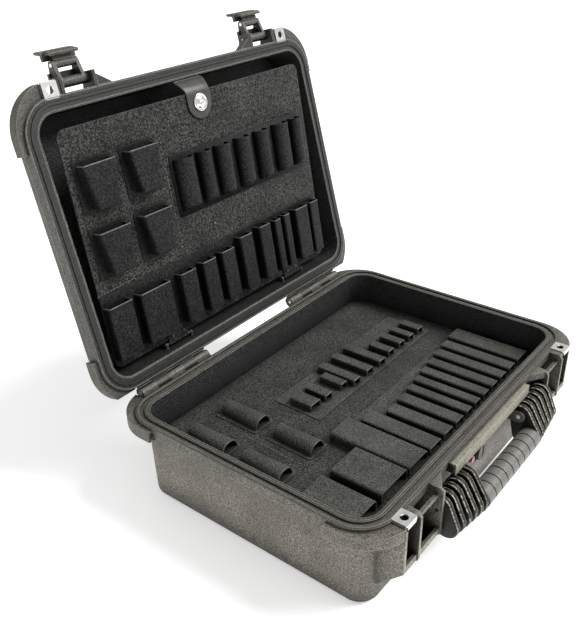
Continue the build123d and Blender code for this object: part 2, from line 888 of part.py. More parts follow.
for side, hand in ((-1, "left"), (1, "right")):
    with BuildPart() as handle_pin:
        pin_start = lug_start if side > 0 else -bay_left
        cross_bore(
            handle_pivot_y,
            handle_pivot_z,
            handle_pin_radius,
            pin_start,
            bay_left - lug_start,
            Mode.ADD,
        )
    save(handle_pin, f"handle_pin_{hand}")

# Pressure valve on the front wall: body with its stem, slotted knob, red plug and inner nut
wall_slope = (outer_width - foot_width) / 2 / rim_height
valve_seat = -(foot_width / 2 + wall_slope * (valve_z + valve_plate_height / 2)) - 0.1
with BuildPart() as valve_body:
    with BuildSketch(Plane.XZ.offset(-valve_seat)):
        with Locations((valve_x - 7.0, valve_z)):
            RectangleRounded(valve_plate_length, valve_plate_height, 10.0)
    extrude(amount=valve_plate_thickness)
    with BuildSketch(Plane.XZ.offset(-valve_seat)):
        with Locations((valve_x, valve_z)):
            Circle(valve_stem_radius)
    extrude(amount=-(wall + nut_thickness + 1.5))
    with BuildSketch(Plane.XZ.offset(-valve_seat + valve_plate_thickness - 2.0)):
        with Locations((valve_x, valve_z)):
            Circle(valve_knob_radius + 1.4)
            Circle(valve_knob_radius - 2.0, mode=Mode.SUBTRACT)
    extrude(amount=2.0, mode=Mode.SUBTRACT)
save(valve_body, "valve_body")

with BuildPart() as valve_knob:
    knob_back = -valve_seat + valve_plate_thickness + 0.3
    with BuildSketch(Plane.XZ.offset(knob_back)):
        with Locations((valve_x, valve_z)):
            Circle(valve_knob_radius)
    extrude(amount=valve_knob_depth)
    fillet(valve_knob.edges().group_by(Axis.Y)[0], 0.8)
    with BuildSketch(Plane.XZ.offset(knob_back + valve_knob_depth - 1.8)):
        with Locations((valve_x, valve_z)):
            SlotOverall(2 * valve_knob_radius - 5.0, valve_slot_width, rotation=90)
    extrude(amount=1.8, mode=Mode.SUBTRACT)
save(valve_knob, "valve_knob")

with BuildPart() as vent_plug:
    with BuildSketch(Plane.XZ.offset(-valve_seat + valve_plate_thickness)):
        with Locations((valve_x + plug_offset, valve_z)):
            Circle(plug_radius)
    extrude(amount=3.0)
    fillet(vent_plug.edges().group_by(Axis.Y)[0], 1.6)
save(vent_plug, "vent_plug")

with BuildPart() as valve_nut:
    nut_face = foot_width / 2 - wall + wall_slope * (valve_z - 9.0) - 0.2
    with BuildSketch(Plane.XZ.offset(nut_face)):
        with Locations((valve_x, valve_z)):
            RegularPolygon(nut_radius, 6)
            Circle(valve_stem_radius + 0.05, mode=Mode.SUBTRACT)
    extrude(amount=-nut_thickness)
save(valve_nut, "valve_nut")

# Base pallet board: rounded plate that drops onto the end ledges
taper_share = (base_pallet_top - pallet_thickness - floor_thickness) / (rim_height - floor_thickness)
board_length = foot_length - 2 * wall + (mouth_length - foot_length + 2 * wall) * taper_share
board_width = foot_width - 2 * wall + (mouth_width - foot_width + 2 * wall) * taper_share
with BuildPart() as base_pallet_board:
    with BuildSketch(Plane.XY.offset(base_pallet_top - pallet_thickness)):
        RectangleRounded(
            board_length - 2 * base_pallet_margin,
            board_width - 2 * base_pallet_margin,
            foot_corner,
        )
        with Locations((valve_x, -board_width / 2)):
            Rectangle(
                2 * (nut_radius + nut_clearance),
                2 * (nut_thickness + nut_clearance),
                mode=Mode.SUBTRACT,
            )
    extrude(amount=pallet_thickness)
save(base_pallet_board, "base_pallet_board")

pocket_floor = base_pallet_top + sheet_thickness
with BuildPart() as base_long_pockets:
    span = sum(long_pocket_widths) + long_pocket_gap * (len(long_pocket_widths) - 1)
    pocket_sheet(
        long_pocket_start - 3.0,
        long_pocket_start + span + 3.0,
        front_mouth_y + max(long_pocket_lengths) + 4.0,
        front_mouth_y - 4.0,
        base_pallet_top,
    )
    left = long_pocket_start
    for width, length in zip(long_pocket_widths, long_pocket_lengths):
        raise_pocket(
            left + width / 2,
            width,
            width,
            front_mouth_y + length,
            front_mouth_y,
            pocket_floor,
            long_pocket_height,
            pocket_round,
        )
        left += width + long_pocket_gap
save(base_long_pockets, "base_long_pockets")

with BuildPart() as base_box_pockets:
    for left, width, length, height in zip(box_lefts, box_widths, box_lengths, box_heights):
        pocket_sheet(
            left - box_margin,
            left + width + box_margin,
            front_mouth_y + length + box_margin,
            front_mouth_y - 4.0,
            base_pallet_top,
        )
        raise_pocket(
            left + width / 2,
            width,
            width,
            front_mouth_y + length,
            front_mouth_y,
            pocket_floor,
            height,
            pocket_round + 1.0,
        )
save(base_box_pockets, "base_box_pockets")

with BuildPart() as base_short_pockets:
    pocket_sheet(-68.0, 186.0, 76.0, 11.0, base_pallet_top)
    for left, width, back, mouth in zip(
        short_pocket_lefts, short_pocket_widths, short_pocket_backs, short_pocket_mouths
    ):
        raise_pocket(
            left + width / 2,
            width,
            width,
            back,
            mouth,
            pocket_floor,
            short_pocket_height,
            pocket_round - 0.8,
        )
save(base_short_pockets, "base_short_pockets")

with BuildPart() as base_holsters:
    for centre in holster_columns:
        for mouth in holster_mouths:
            pocket_sheet(
                centre - holster_mouth_width / 2 - 4.0,
                centre + holster_mouth_width / 2 + 4.0,
                mouth + holster_length + 4.0,
                mouth - 3.0,
                base_pallet_top,
            )
            raise_pocket(
                centre,
                holster_closed_width,
                holster_mouth_width,
                mouth + holster_length,
                mouth,
                pocket_floor,
                holster_height,
                holster_height - 1.0,
            )
save(base_holsters, "base_holsters")

# Lid pallet board and its pockets, in the plane of the board
lid_place = lid_turn * pallet_plane.location
board_face = pallet_thickness / 2
lid_floor = board_face + sheet_thickness
with BuildPart() as lid_pallet_board:
    with BuildSketch(Plane.XY.offset(-pallet_thickness / 2)):
        with Locations(((board_left + board_right) / 2, (board_start + board_end) / 2)):
            RectangleRounded(board_right - board_left, board_end - board_start, board_corner)
    extrude(amount=pallet_thickness)
save(lid_pallet_board, "lid_pallet_board", lid_place)

with BuildPart() as lid_tube_pockets:
    tubes_left = tube_centres[0] - tube_widths[0] / 2
    tubes_right = tube_centres[-1] + tube_widths[-1] / 2
    pocket_sheet(tubes_left - 4.0, tubes_right + 4.0, tube_span[0] - 5.0, tube_span[1] + 5.0, board_face)
    for centre, width in zip(tube_centres, tube_widths):
        raise_pocket(centre, width, width, *tube_span, lid_floor, tube_height, tube_round)
save(lid_tube_pockets, "lid_tube_pockets", lid_place)

with BuildPart() as lid_row_pockets:
    row_left = row_lefts[0]
    row_right = row_lefts[-1] + row_widths[-1]
    pocket_sheet(row_left - 0.5, row_right + 4.0, row_bottom, max(row_mouths) + 4.0, board_face)
    for left, width, mouth in zip(row_lefts, row_widths, row_mouths):
        raise_pocket(
            left + width / 2, width, width, row_bottom, mouth, lid_floor, row_height, pocket_round
        )
save(lid_row_pockets, "lid_row_pockets", lid_place)

with BuildPart() as lid_wedge_pockets:
    for centre in wedge_columns:
        for bottom in wedge_bottoms:
            pocket_sheet(
                centre - wedge_mouth_width / 2 - 4.0,
                centre + wedge_mouth_width / 2 + 4.0,
                bottom - 5.0,
                bottom + wedge_length + 5.0,
                board_face,
            )
            raise_pocket(
                centre,
                wedge_closed_width,
                wedge_mouth_width,
                bottom,
                bottom + wedge_length,
                lid_floor,
                wedge_height,
                pocket_round,
            )
save(lid_wedge_pockets, "lid_wedge_pockets", lid_place)

# Pallet clips: a rounded plate on the board and an eye that swings on the rod
for centre, hand in zip(clip_centres, ("left", "right")):
    with BuildPart() as pallet_clip:
        with BuildSketch(Plane.XY.offset(board_face)) as clip_plate:
            with Locations((centre, clip_top / 2)):
                RectangleRounded(clip_width, clip_top, clip_round)
            with Locations((centre, clip_round / 2)):
                Rectangle(clip_width, clip_round)
        extrude(amount=clip_thickness)
        eye_face = centre - clip_width / 2
        cross_bore(0.0, 0.0, eye_radius, eye_face, clip_width, Mode.ADD)
        cross_bore(0.0, 0.0, rod_radius + rod_fit, eye_face, clip_width)
    save(pallet_clip, f"pallet_clip_{hand}", lid_place)

    with BuildPart() as pallet_rod:
        rod_length = 2 * bracket_half + bracket_ear
        cross_bore(0.0, 0.0, rod_radius, centre - rod_length / 2, rod_length, Mode.ADD)
    save(pallet_rod, f"pallet_rod_{hand}", lid_place)

# Closing strap: a tab riveted to the front wall of the lid and the flap that hangs from it
lid_wall_slope = (mouth_width / 2 - lid_top_width / 2 + wall) / lid_depth
tab_low = strap_hinge_z + strap_thickness / 2 + strap_gap
tab_back = lid_wall_slope * (tab_low - lid_rim) + seat_gap - half_width
with BuildPart() as strap_tab:
    side_profile(
        (
            (tab_back, tab_low),
            (tab_back + lid_wall_slope * strap_tab_height, tab_low + strap_tab_height),
            (
                tab_back + lid_wall_slope * strap_tab_height + strap_thickness,
                tab_low + strap_tab_height,
            ),
            (tab_back + strap_thickness, tab_low),
        ),
        strap_centre - strap_root_width / 2,
        strap_root_width,
    )
save(strap_tab, "strap_tab", lid_turn)

strap_middle = board_face + strap_gap + strap_thickness / 2
with BuildPart() as strap_flap:
    with BuildSketch(Plane.YZ.offset(strap_centre - strap_root_width / 2)):
        with BuildLine():
            Polyline(
                (strap_hinge_y, strap_hinge_z),
                board_point(strap_bend, strap_middle),
                board_point(strap_tip - 2 * strap_thickness, strap_middle),
            )
        trace(line_width=strap_thickness)
    extrude(amount=strap_root_width)
    with BuildSketch(pallet_plane.offset(-strap_width)):
        with BuildLine():
            shoulder = strap_tip + strap_width / 2
            root = (strap_centre + strap_root_width / 2, strap_neck)
            far = (root[0], 2 * strap_neck - strap_bend)
            edge = (strap_centre + strap_width / 2, strap_bend)
            Polyline((2 * strap_centre - far[0], far[1]), far, root, edge, (edge[0], shoulder))
            ThreePointArc(
                (edge[0], shoulder),
                (strap_centre, strap_tip),
                (2 * strap_centre - edge[0], shoulder),
            )
            Polyline(
                (2 * strap_centre - edge[0], shoulder),
                (2 * strap_centre - edge[0], strap_bend),
                (2 * strap_centre - root[0], strap_neck),
                (2 * strap_centre - far[0], far[1]),
            )
        make_face()
    extrude(amount=2 * strap_width, mode=Mode.INTERSECT)
    with BuildSketch(pallet_plane.offset(board_face)):
        with Locations((strap_centre, snap_place)):
            Circle(stud_radius + stud_play)
    extrude(amount=strap_gap + 2 * strap_thickness, mode=Mode.SUBTRACT)
save(strap_flap, "strap_flap", lid_turn)

# Snap: domed cap on the strap over a stud on the board
with BuildPart() as snap_cap:
    with BuildSketch(Plane.XY.offset(board_face + strap_gap + strap_thickness)):
        with Locations((strap_centre, snap_place)):
            Circle(snap_radius)
    extrude(amount=snap_height)
    fillet(snap_cap.edges().group_by(Axis.Z)[-1], 0.8 * snap_height)
save(snap_cap, "snap_cap", lid_place)

with BuildPart() as snap_stud:
    with BuildSketch(Plane.XY.offset(board_face)):
        with Locations((strap_centre, snap_place)):
            Circle(stud_radius)
    extrude(amount=strap_gap + 0.9 * strap_thickness)
save(snap_stud, "snap_stud", lid_place)

# Rivet heads on the tab, on the clips and on the board
with BuildPart() as tab_rivets:
    tab_middle = tab_back + lid_wall_slope * strap_tab_height / 2 + strap_thickness
    tab_face = Plane(
        origin=(strap_centre, tab_middle, tab_low + strap_tab_height / 2),
        x_dir=(1, 0, 0),
        z_dir=(0, 1, -lid_wall_slope),
    )
    with BuildSketch(tab_face):
        with GridLocations(tab_rivet_spacing, 0, 2, 1):
            Circle(rivet_radius)
    extrude(amount=rivet_height)
save(tab_rivets, "tab_rivets", lid_turn)

with BuildPart() as pallet_rivets:
    with BuildSketch(Plane.XY.offset(board_face + clip_thickness)):
        for centre in clip_centres:
            with Locations((centre, clip_top / 2)):
                with GridLocations(clip_rivet_spacing, 0, 2, 1):
                    Circle(rivet_radius)
    extrude(amount=rivet_height)
    with BuildSketch(Plane.XY.offset(board_face)):
        with Locations(board_rivet):
            Circle(rivet_radius)
    extrude(amount=rivet_height)
save(pallet_rivets, "pallet_rivets", lid_place)
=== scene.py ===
"""Looks of the open tool case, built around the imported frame.

Everything is in metres in the frame of the CAD model: the case stands on z = 0, the latches and
the handle face -Y, the hinges are at +Y and the length runs along X. The lid stands open.
"""

from __future__ import annotations

import json
import logging
import math
from dataclasses import dataclass, field
from enum import Enum

import bmesh
import bpy
from mathutils import Matrix, Vector

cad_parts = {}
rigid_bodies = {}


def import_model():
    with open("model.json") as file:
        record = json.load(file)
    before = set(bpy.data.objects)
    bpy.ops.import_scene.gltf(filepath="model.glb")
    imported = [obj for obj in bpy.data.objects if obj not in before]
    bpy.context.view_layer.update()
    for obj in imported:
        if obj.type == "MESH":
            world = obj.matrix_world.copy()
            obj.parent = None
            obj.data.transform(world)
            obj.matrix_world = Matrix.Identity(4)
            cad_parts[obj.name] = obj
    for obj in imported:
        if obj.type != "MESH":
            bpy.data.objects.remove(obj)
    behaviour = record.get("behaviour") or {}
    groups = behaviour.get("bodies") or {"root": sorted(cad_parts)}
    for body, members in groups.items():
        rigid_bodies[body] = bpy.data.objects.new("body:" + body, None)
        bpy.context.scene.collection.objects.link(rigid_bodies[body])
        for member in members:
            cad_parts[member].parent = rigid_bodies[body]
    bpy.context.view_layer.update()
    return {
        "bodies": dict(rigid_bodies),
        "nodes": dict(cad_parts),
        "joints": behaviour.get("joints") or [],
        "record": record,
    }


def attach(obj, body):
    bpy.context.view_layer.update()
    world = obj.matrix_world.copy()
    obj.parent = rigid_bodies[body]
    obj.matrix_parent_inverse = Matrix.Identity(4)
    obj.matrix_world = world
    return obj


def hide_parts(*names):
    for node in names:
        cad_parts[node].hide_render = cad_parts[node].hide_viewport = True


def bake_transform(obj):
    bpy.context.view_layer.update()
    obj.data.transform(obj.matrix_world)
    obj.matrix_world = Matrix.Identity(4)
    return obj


LOG = logging.getLogger("tool_case")
MM = 0.001
Socket = bpy.types.NodeSocket
Colour = tuple[float, float, float]
# A circle across the case: its centre's y and z and its radius, in millimetres
Circle = tuple[float, float, float]

# The hinges' axis and the lid board's pivot line, as (y, z) in the shut case in millimetres
HINGE_AXIS = (169.5, 112.0)
BOARD_PIVOT = (140.5, 128.2)
HINGE_PLACE = Vector((0.0, HINGE_AXIS[0] * MM, HINGE_AXIS[1] * MM))
BOARD_PLACE = Vector((0.0, BOARD_PIVOT[0] * MM, BOARD_PIVOT[1] * MM))
LID_ANGLE = math.radians(105.0)
LID_OPEN = (
    Matrix.Translation(HINGE_PLACE)
    @ Matrix.Rotation(-LID_ANGLE, 4, "X")
    @ Matrix.Translation(-HINGE_PLACE)
)
BOARD_LEAN = math.radians(5.0)
# Half the board's thickness, in millimetres
BOARD_HALF = 1.25
BASE_PALLET_TOP = 73.0 * MM
RIM_TOP = 113.0 * MM
MOUTH_HALF = (212.5 * MM, 145.5 * MM)
MOUTH_CORNER = 24.0 * MM
# Noise stays mostly within these values, so they are its practical ends
NOISE_LOW, NOISE_HIGH = 0.3, 0.7
# Openness at which the shade painted into a recess is darkest, and from which no shade is painted
PAINTED_SHADE_LOW, PAINTED_SHADE_HIGH = 0.38, 0.93
# How far the rounded normal leans from the flat one on an edge, and off it
EDGE_LEAN, EDGE_FLAT = 0.86, 0.995


class Grain(Enum):
    """Kinds of fine surface relief."""

    PEBBLE = "pebble"
    SATIN = "satin"


class Pallet(Enum):
    """The two tool pallets, by the body each one moves with."""

    BASE = "base_pallet"
    LID = "lid_pallet"


def board_place(across: float, up: float, out: float) -> Vector:
    """Place a point of the lid pallet's board in the open lid.

    Args:
        across: Distance along the case, in millimetres.
        up: Distance up the board from its pivot line, in millimetres.
        out: Distance out from the board's middle plane, in millimetres.

    Returns:
        The point in the frame, in metres.
    """
    lean = BOARD_LEAN
    shut = BOARD_PLACE + MM * Vector(
        (
            across,
            -up * math.cos(lean) + out * math.sin(lean),
            -up * math.sin(lean) - out * math.cos(lean),
        )
    )
    return LID_OPEN @ shut


@dataclass(frozen=True)
class Mouth:
    """The open end of a formed pocket, in millimetres on its pallet."""

    left: float
    width: float
    along: float
    height: float
    corner: float
    sheet: float = 1.0
    wall: float = 1.2
    # What a fully round mouth keeps flat at its top, on each side of its middle
    flat: float = 0.2

    def arch(self, pallet: Pallet, steps: int = 4) -> list[Vector]:
        """Follow the middle of the pocket's wall around its mouth.

        Args:
            pallet: The pallet that carries the pocket.
            steps: Segments in each rounded corner.

        Returns:
            The points of the arch, in metres.
        """
        half = 0.5 * self.wall
        round_off = min(self.corner, 0.5 * self.width - self.flat) - half
        spots = [(self.left + half, self.sheet)]
        for first, centre in (
            (180.0, self.left + half + round_off),
            (90.0, self.left + self.width - half - round_off),
        ):
            for step in range(steps + 1):
                angle = math.radians(first - 90.0 * step / steps)
                spots.append(
                    (
                        centre + round_off * math.cos(angle),
                        self.sheet + self.height - half - round_off + round_off * math.sin(angle),
                    )
                )
        spots.append((self.left + self.width - half, self.sheet))
        return [pallet_place(pallet, across, self.along, out) for across, out in spots]


def pallet_place(pallet: Pallet, across: float, along: float, out: float) -> Vector:
    """Place a point on the face of a pallet.

    Args:
        pallet: The pallet.
        across: Distance along the case, in millimetres.
        along: Distance up the lid's board, or the place from front to back, in millimetres.
        out: Distance out from the face, in millimetres.

    Returns:
        The point in the frame, in metres.
    """
    if pallet is Pallet.LID:
        return board_place(across, along, BOARD_HALF + out)
    return Vector((across * MM, along * MM, BASE_PALLET_TOP + out * MM))


class Tree:
    """A node tree, with short ways to add and join nodes."""

    def __init__(self, tree: bpy.types.NodeTree) -> None:
        """Keep the tree."""
        self.tree = tree

    def add(self, kind: str, **settings: object) -> bpy.types.Node:
        """Add a node and set its properties.

        Args:
            kind: The node's type.
            **settings: Values of its properties.

        Returns:
            The new node.
        """
        node = self.tree.nodes.new(kind)
        for key, value in settings.items():
            setattr(node, key, value)
        return node

    def join(self, start: Socket, end: Socket) -> None:
        """Link two sockets."""
        self.tree.links.new(start, end)

    def wire(self, *links: tuple[Socket, Socket]) -> None:
        """Link pairs of sockets."""
        for start, end in links:
            self.join(start, end)


class Graph(Tree):
    """One material's shader tree."""

    def __init__(self, name: str) -> None:
        """Start an empty material with a Principled shader.

        Args:
            name: The material's name.
        """
        self.material = bpy.data.materials.new(name)
        self.material.use_nodes = True
        super().__init__(self.material.node_tree)
        self.tree.nodes.clear()
        output = self.add("ShaderNodeOutputMaterial")
        self.shader = self.add("ShaderNodeBsdfPrincipled")
        self.join(self.shader.outputs["BSDF"], output.inputs["Surface"])
        self.places = self.add("ShaderNodeTexCoord").outputs["Object"]

    def set(self, **values: object) -> None:
        """Set sockets of the shader by name, with underscores for spaces."""
        for key, value in values.items():
            self.shader.inputs[key.replace("_", " ")].default_value = value

    def feed(self, **sockets: Socket) -> None:
        """Join sockets to the shader by name, with underscores for spaces."""
        for key, socket in sockets.items():
            self.join(socket, self.shader.inputs[key.replace("_", " ")])

    def gloss(self, value: Socket, low: float, high: float) -> None:
        """Let noise vary the roughness between two values."""
        self.feed(Roughness=self.spread(value, NOISE_LOW, NOISE_HIGH, low, high))

    def noise(self, size: float, detail: float = 2.0, rough: float = 0.5) -> Socket:
        """Add noise.

        Args:
            size: Size of its features, in metres.
            detail: Number of finer layers.
            rough: Strength of the finer layers.

        Returns:
            The socket of its value.
        """
        node = self.add("ShaderNodeTexNoise")
        node.inputs["Scale"].default_value = 1.0 / size
        node.inputs["Detail"].default_value = detail
        node.inputs["Roughness"].default_value = rough
        self.join(self.places, node.inputs["Vector"])
        return node.outputs[0]

    def pebbles(self, size: float) -> Socket:
        """Add rounded cells.

        Args:
            size: Size of a cell, in metres.

        Returns:
            The socket of the distance to the middle of a cell.
        """
        node = self.add("ShaderNodeTexVoronoi", feature="SMOOTH_F1")
        node.inputs["Scale"].default_value = 1.0 / size
        node.inputs["Smoothness"].default_value = 0.6
        self.join(self.places, node.inputs["Vector"])
        return node.outputs["Distance"]

    def spread(
        self, value: Socket, from_low: float, from_high: float, to_low: float, to_high: float
    ) -> Socket:
        """Map a value from one range to another, clamped.

        Args:
            value: The value.
            from_low: Low end of the first range.
            from_high: High end of the first range.
            to_low: What the low end becomes.
            to_high: What the high end becomes.

        Returns:
            The socket of the mapped value.
        """
        node = self.add("ShaderNodeMapRange")
        for key, number in zip(
            ("From Min", "From Max", "To Min", "To Max"), (from_low, from_high, to_low, to_high)
        ):
            node.inputs[key].default_value = number
        self.join(value, node.inputs["Value"])
        return node.outputs["Result"]

    def maths(self, operation: str, first: Socket | float, second: Socket | float = 0.0) -> Socket:
        """Combine two numbers or sockets.

        Args:
            operation: Blender's name of the operation.
            first: A number or a socket.
            second: A number or a socket, for an operation that takes two.

        Returns:
            The socket of the result.
        """
        node = self.add("ShaderNodeMath", operation=operation)
        for item, end in zip((first, second), node.inputs):
            if isinstance(item, (int, float)):
                end.default_value = item
            else:
                self.join(item, end)
        return node.outputs[0]

    def blend(self, share: Socket, first: Colour | Socket, second: Colour | Socket) -> Socket:
        """Mix two colours by a share.

        Args:
            share: How much of the second colour shows.
            first: A colour or its socket.
            second: A colour or its socket.

        Returns:
            The socket of the mixed colour.
        """
        node = self.add("ShaderNodeMix", data_type="RGBA")
        self.join(share, node.inputs["Factor"])
        for item, end in ((first, node.inputs[6]), (second, node.inputs[7])):
            if isinstance(item, tuple):
                end.default_value = (*item, 1.0)
            else:
                self.join(item, end)
        return node.outputs[2]

    def painted_recess_shade(self, reach: float, dark: float) -> Socket:
        """Find how open a place is, to paint shade into its recesses and corners.

        Args:
            reach: How far away a neighbour still hides it, in metres.
            dark: The share of the colour that the painted shade leaves in the deepest places.

        Returns:
            A share that is one in the open and falls in recesses and corners, where it darkens a
            colour as painted shade.
        """
        node = self.add("ShaderNodeAmbientOcclusion", samples=6)
        node.inputs["Distance"].default_value = reach
        return self.spread(node.outputs["AO"], PAINTED_SHADE_LOW, PAINTED_SHADE_HIGH, dark, 1.0)

    def shade(self, colour: Socket, share: Socket) -> Socket:
        """Darken a colour by a share.

        Args:
            colour: The colour.
            share: What it is multiplied by.

        Returns:
            The socket of the darker colour.
        """
        node = self.add("ShaderNodeVectorMath", operation="SCALE")
        self.join(colour, node.inputs[0])
        self.join(share, node.inputs["Scale"])
        return node.outputs[0]

    def edges(self, radius: float) -> tuple[Socket, Socket]:
        """Round the edges in shading.

        Args:
            radius: How far from an edge its rounding reaches, in metres.

        Returns:
            The rounded normal, and a share that is one on a sharp edge and zero away from it.
        """
        bevel = self.add("ShaderNodeBevel", samples=4)
        bevel.inputs["Radius"].default_value = radius
        surface = self.add("ShaderNodeNewGeometry")
        both = self.add("ShaderNodeVectorMath", operation="DOT_PRODUCT")
        self.join(bevel.outputs["Normal"], both.inputs[0])
        self.join(surface.outputs["Normal"], both.inputs[1])
        share = self.spread(both.outputs["Value"], EDGE_LEAN, EDGE_FLAT, 1.0, 0.0)
        return bevel.outputs["Normal"], share

    def bump(
        self,
        height: Socket,
        depth: float,
        normal: Socket | None = None,
        strength: float = 1.0,
    ) -> None:
        """Give the shader a fine relief.

        Args:
            height: The height of the relief.
            depth: How deep a height of one is, in metres.
            normal: The normal that the relief is laid on, if it isn't the mesh's own.
            strength: How strongly the relief shows.
        """
        node = self.add("ShaderNodeBump")
        node.inputs["Strength"].default_value = strength
        node.inputs["Distance"].default_value = depth
        self.join(height, node.inputs["Height"])
        if normal is not None:
            self.join(normal, node.inputs["Normal"])
        self.feed(Normal=node.outputs["Normal"])


@dataclass(frozen=True)
class MouldedPlastic:
    """Hard moulded plastic with a fine grain, uneven tone, rubbed edges and painted recess shade.
    """

    name: str
    colour: Colour
    dusty: Colour
    rubbed: Colour
    grain: float = 0.9 * MM
    depth: float = 0.12 * MM
    roughness: float = 0.5
    edge: float = 0.9 * MM
    wear: float = 0.35
    # reach and dark set the shade painted into recesses: how far it reaches, and the share of the
    # colour left in the deepest places
    reach: float = 22 * MM
    dark: float = 0.06
    shine: float = 0.35
    relief: Grain = Grain.PEBBLE

    def material(self) -> bpy.types.Material:
        """Build the material.

        Returns:
            The new material.
        """
        graph = Graph(self.name)
        self.dress(graph, self.tone(graph))
        return graph.material

    def tone(self, graph: Graph) -> Socket:
        """Mix the plain colour with its dusty tone in fine specks and broad patches.

        Args:
            graph: The material's tree.

        Returns:
            The socket of the mixed colour.
        """
        specks = graph.spread(graph.noise(1.6 * self.grain, 2.0, 0.85), 0.42, 0.58, 0.0, 1.0)
        patches = graph.spread(graph.noise(60 * self.grain, 2.0), 0.35, 0.7, 0.55, 1.0)
        return graph.blend(graph.maths("MULTIPLY", specks, patches), self.colour, self.dusty)

    def dress(self, graph: Graph, colour: Socket) -> None:
        """Finish the shader: rubbed edges, painted recess shade, gloss and grain.

        Args:
            graph: The material's tree.
            colour: The colour before wear.
        """
        normal, edge = graph.edges(self.edge)
        rubs = graph.spread(graph.noise(5 * MM, 3.0, 0.7), 0.35, 0.62, self.wear, 1.0)
        worn = graph.blend(graph.maths("MULTIPLY", edge, rubs), colour, self.rubbed)
        # The colour is darkened by shade painted into recesses and corners
        graph.feed(Base_Color=graph.shade(worn, graph.painted_recess_shade(self.reach, self.dark)))
        graph.gloss(graph.noise(12 * MM, 3.0), self.roughness - 0.07, self.roughness + 0.08)
        if self.relief is Grain.PEBBLE:
            height = graph.maths(
                "ADD", graph.pebbles(self.grain), graph.noise(0.6 * self.grain, 3.0, 0.6)
            )
        else:
            height = graph.noise(self.grain, 4.0, 0.6)
        graph.bump(height, self.depth, normal)
        graph.set(IOR=1.5, Specular_IOR_Level=self.shine)


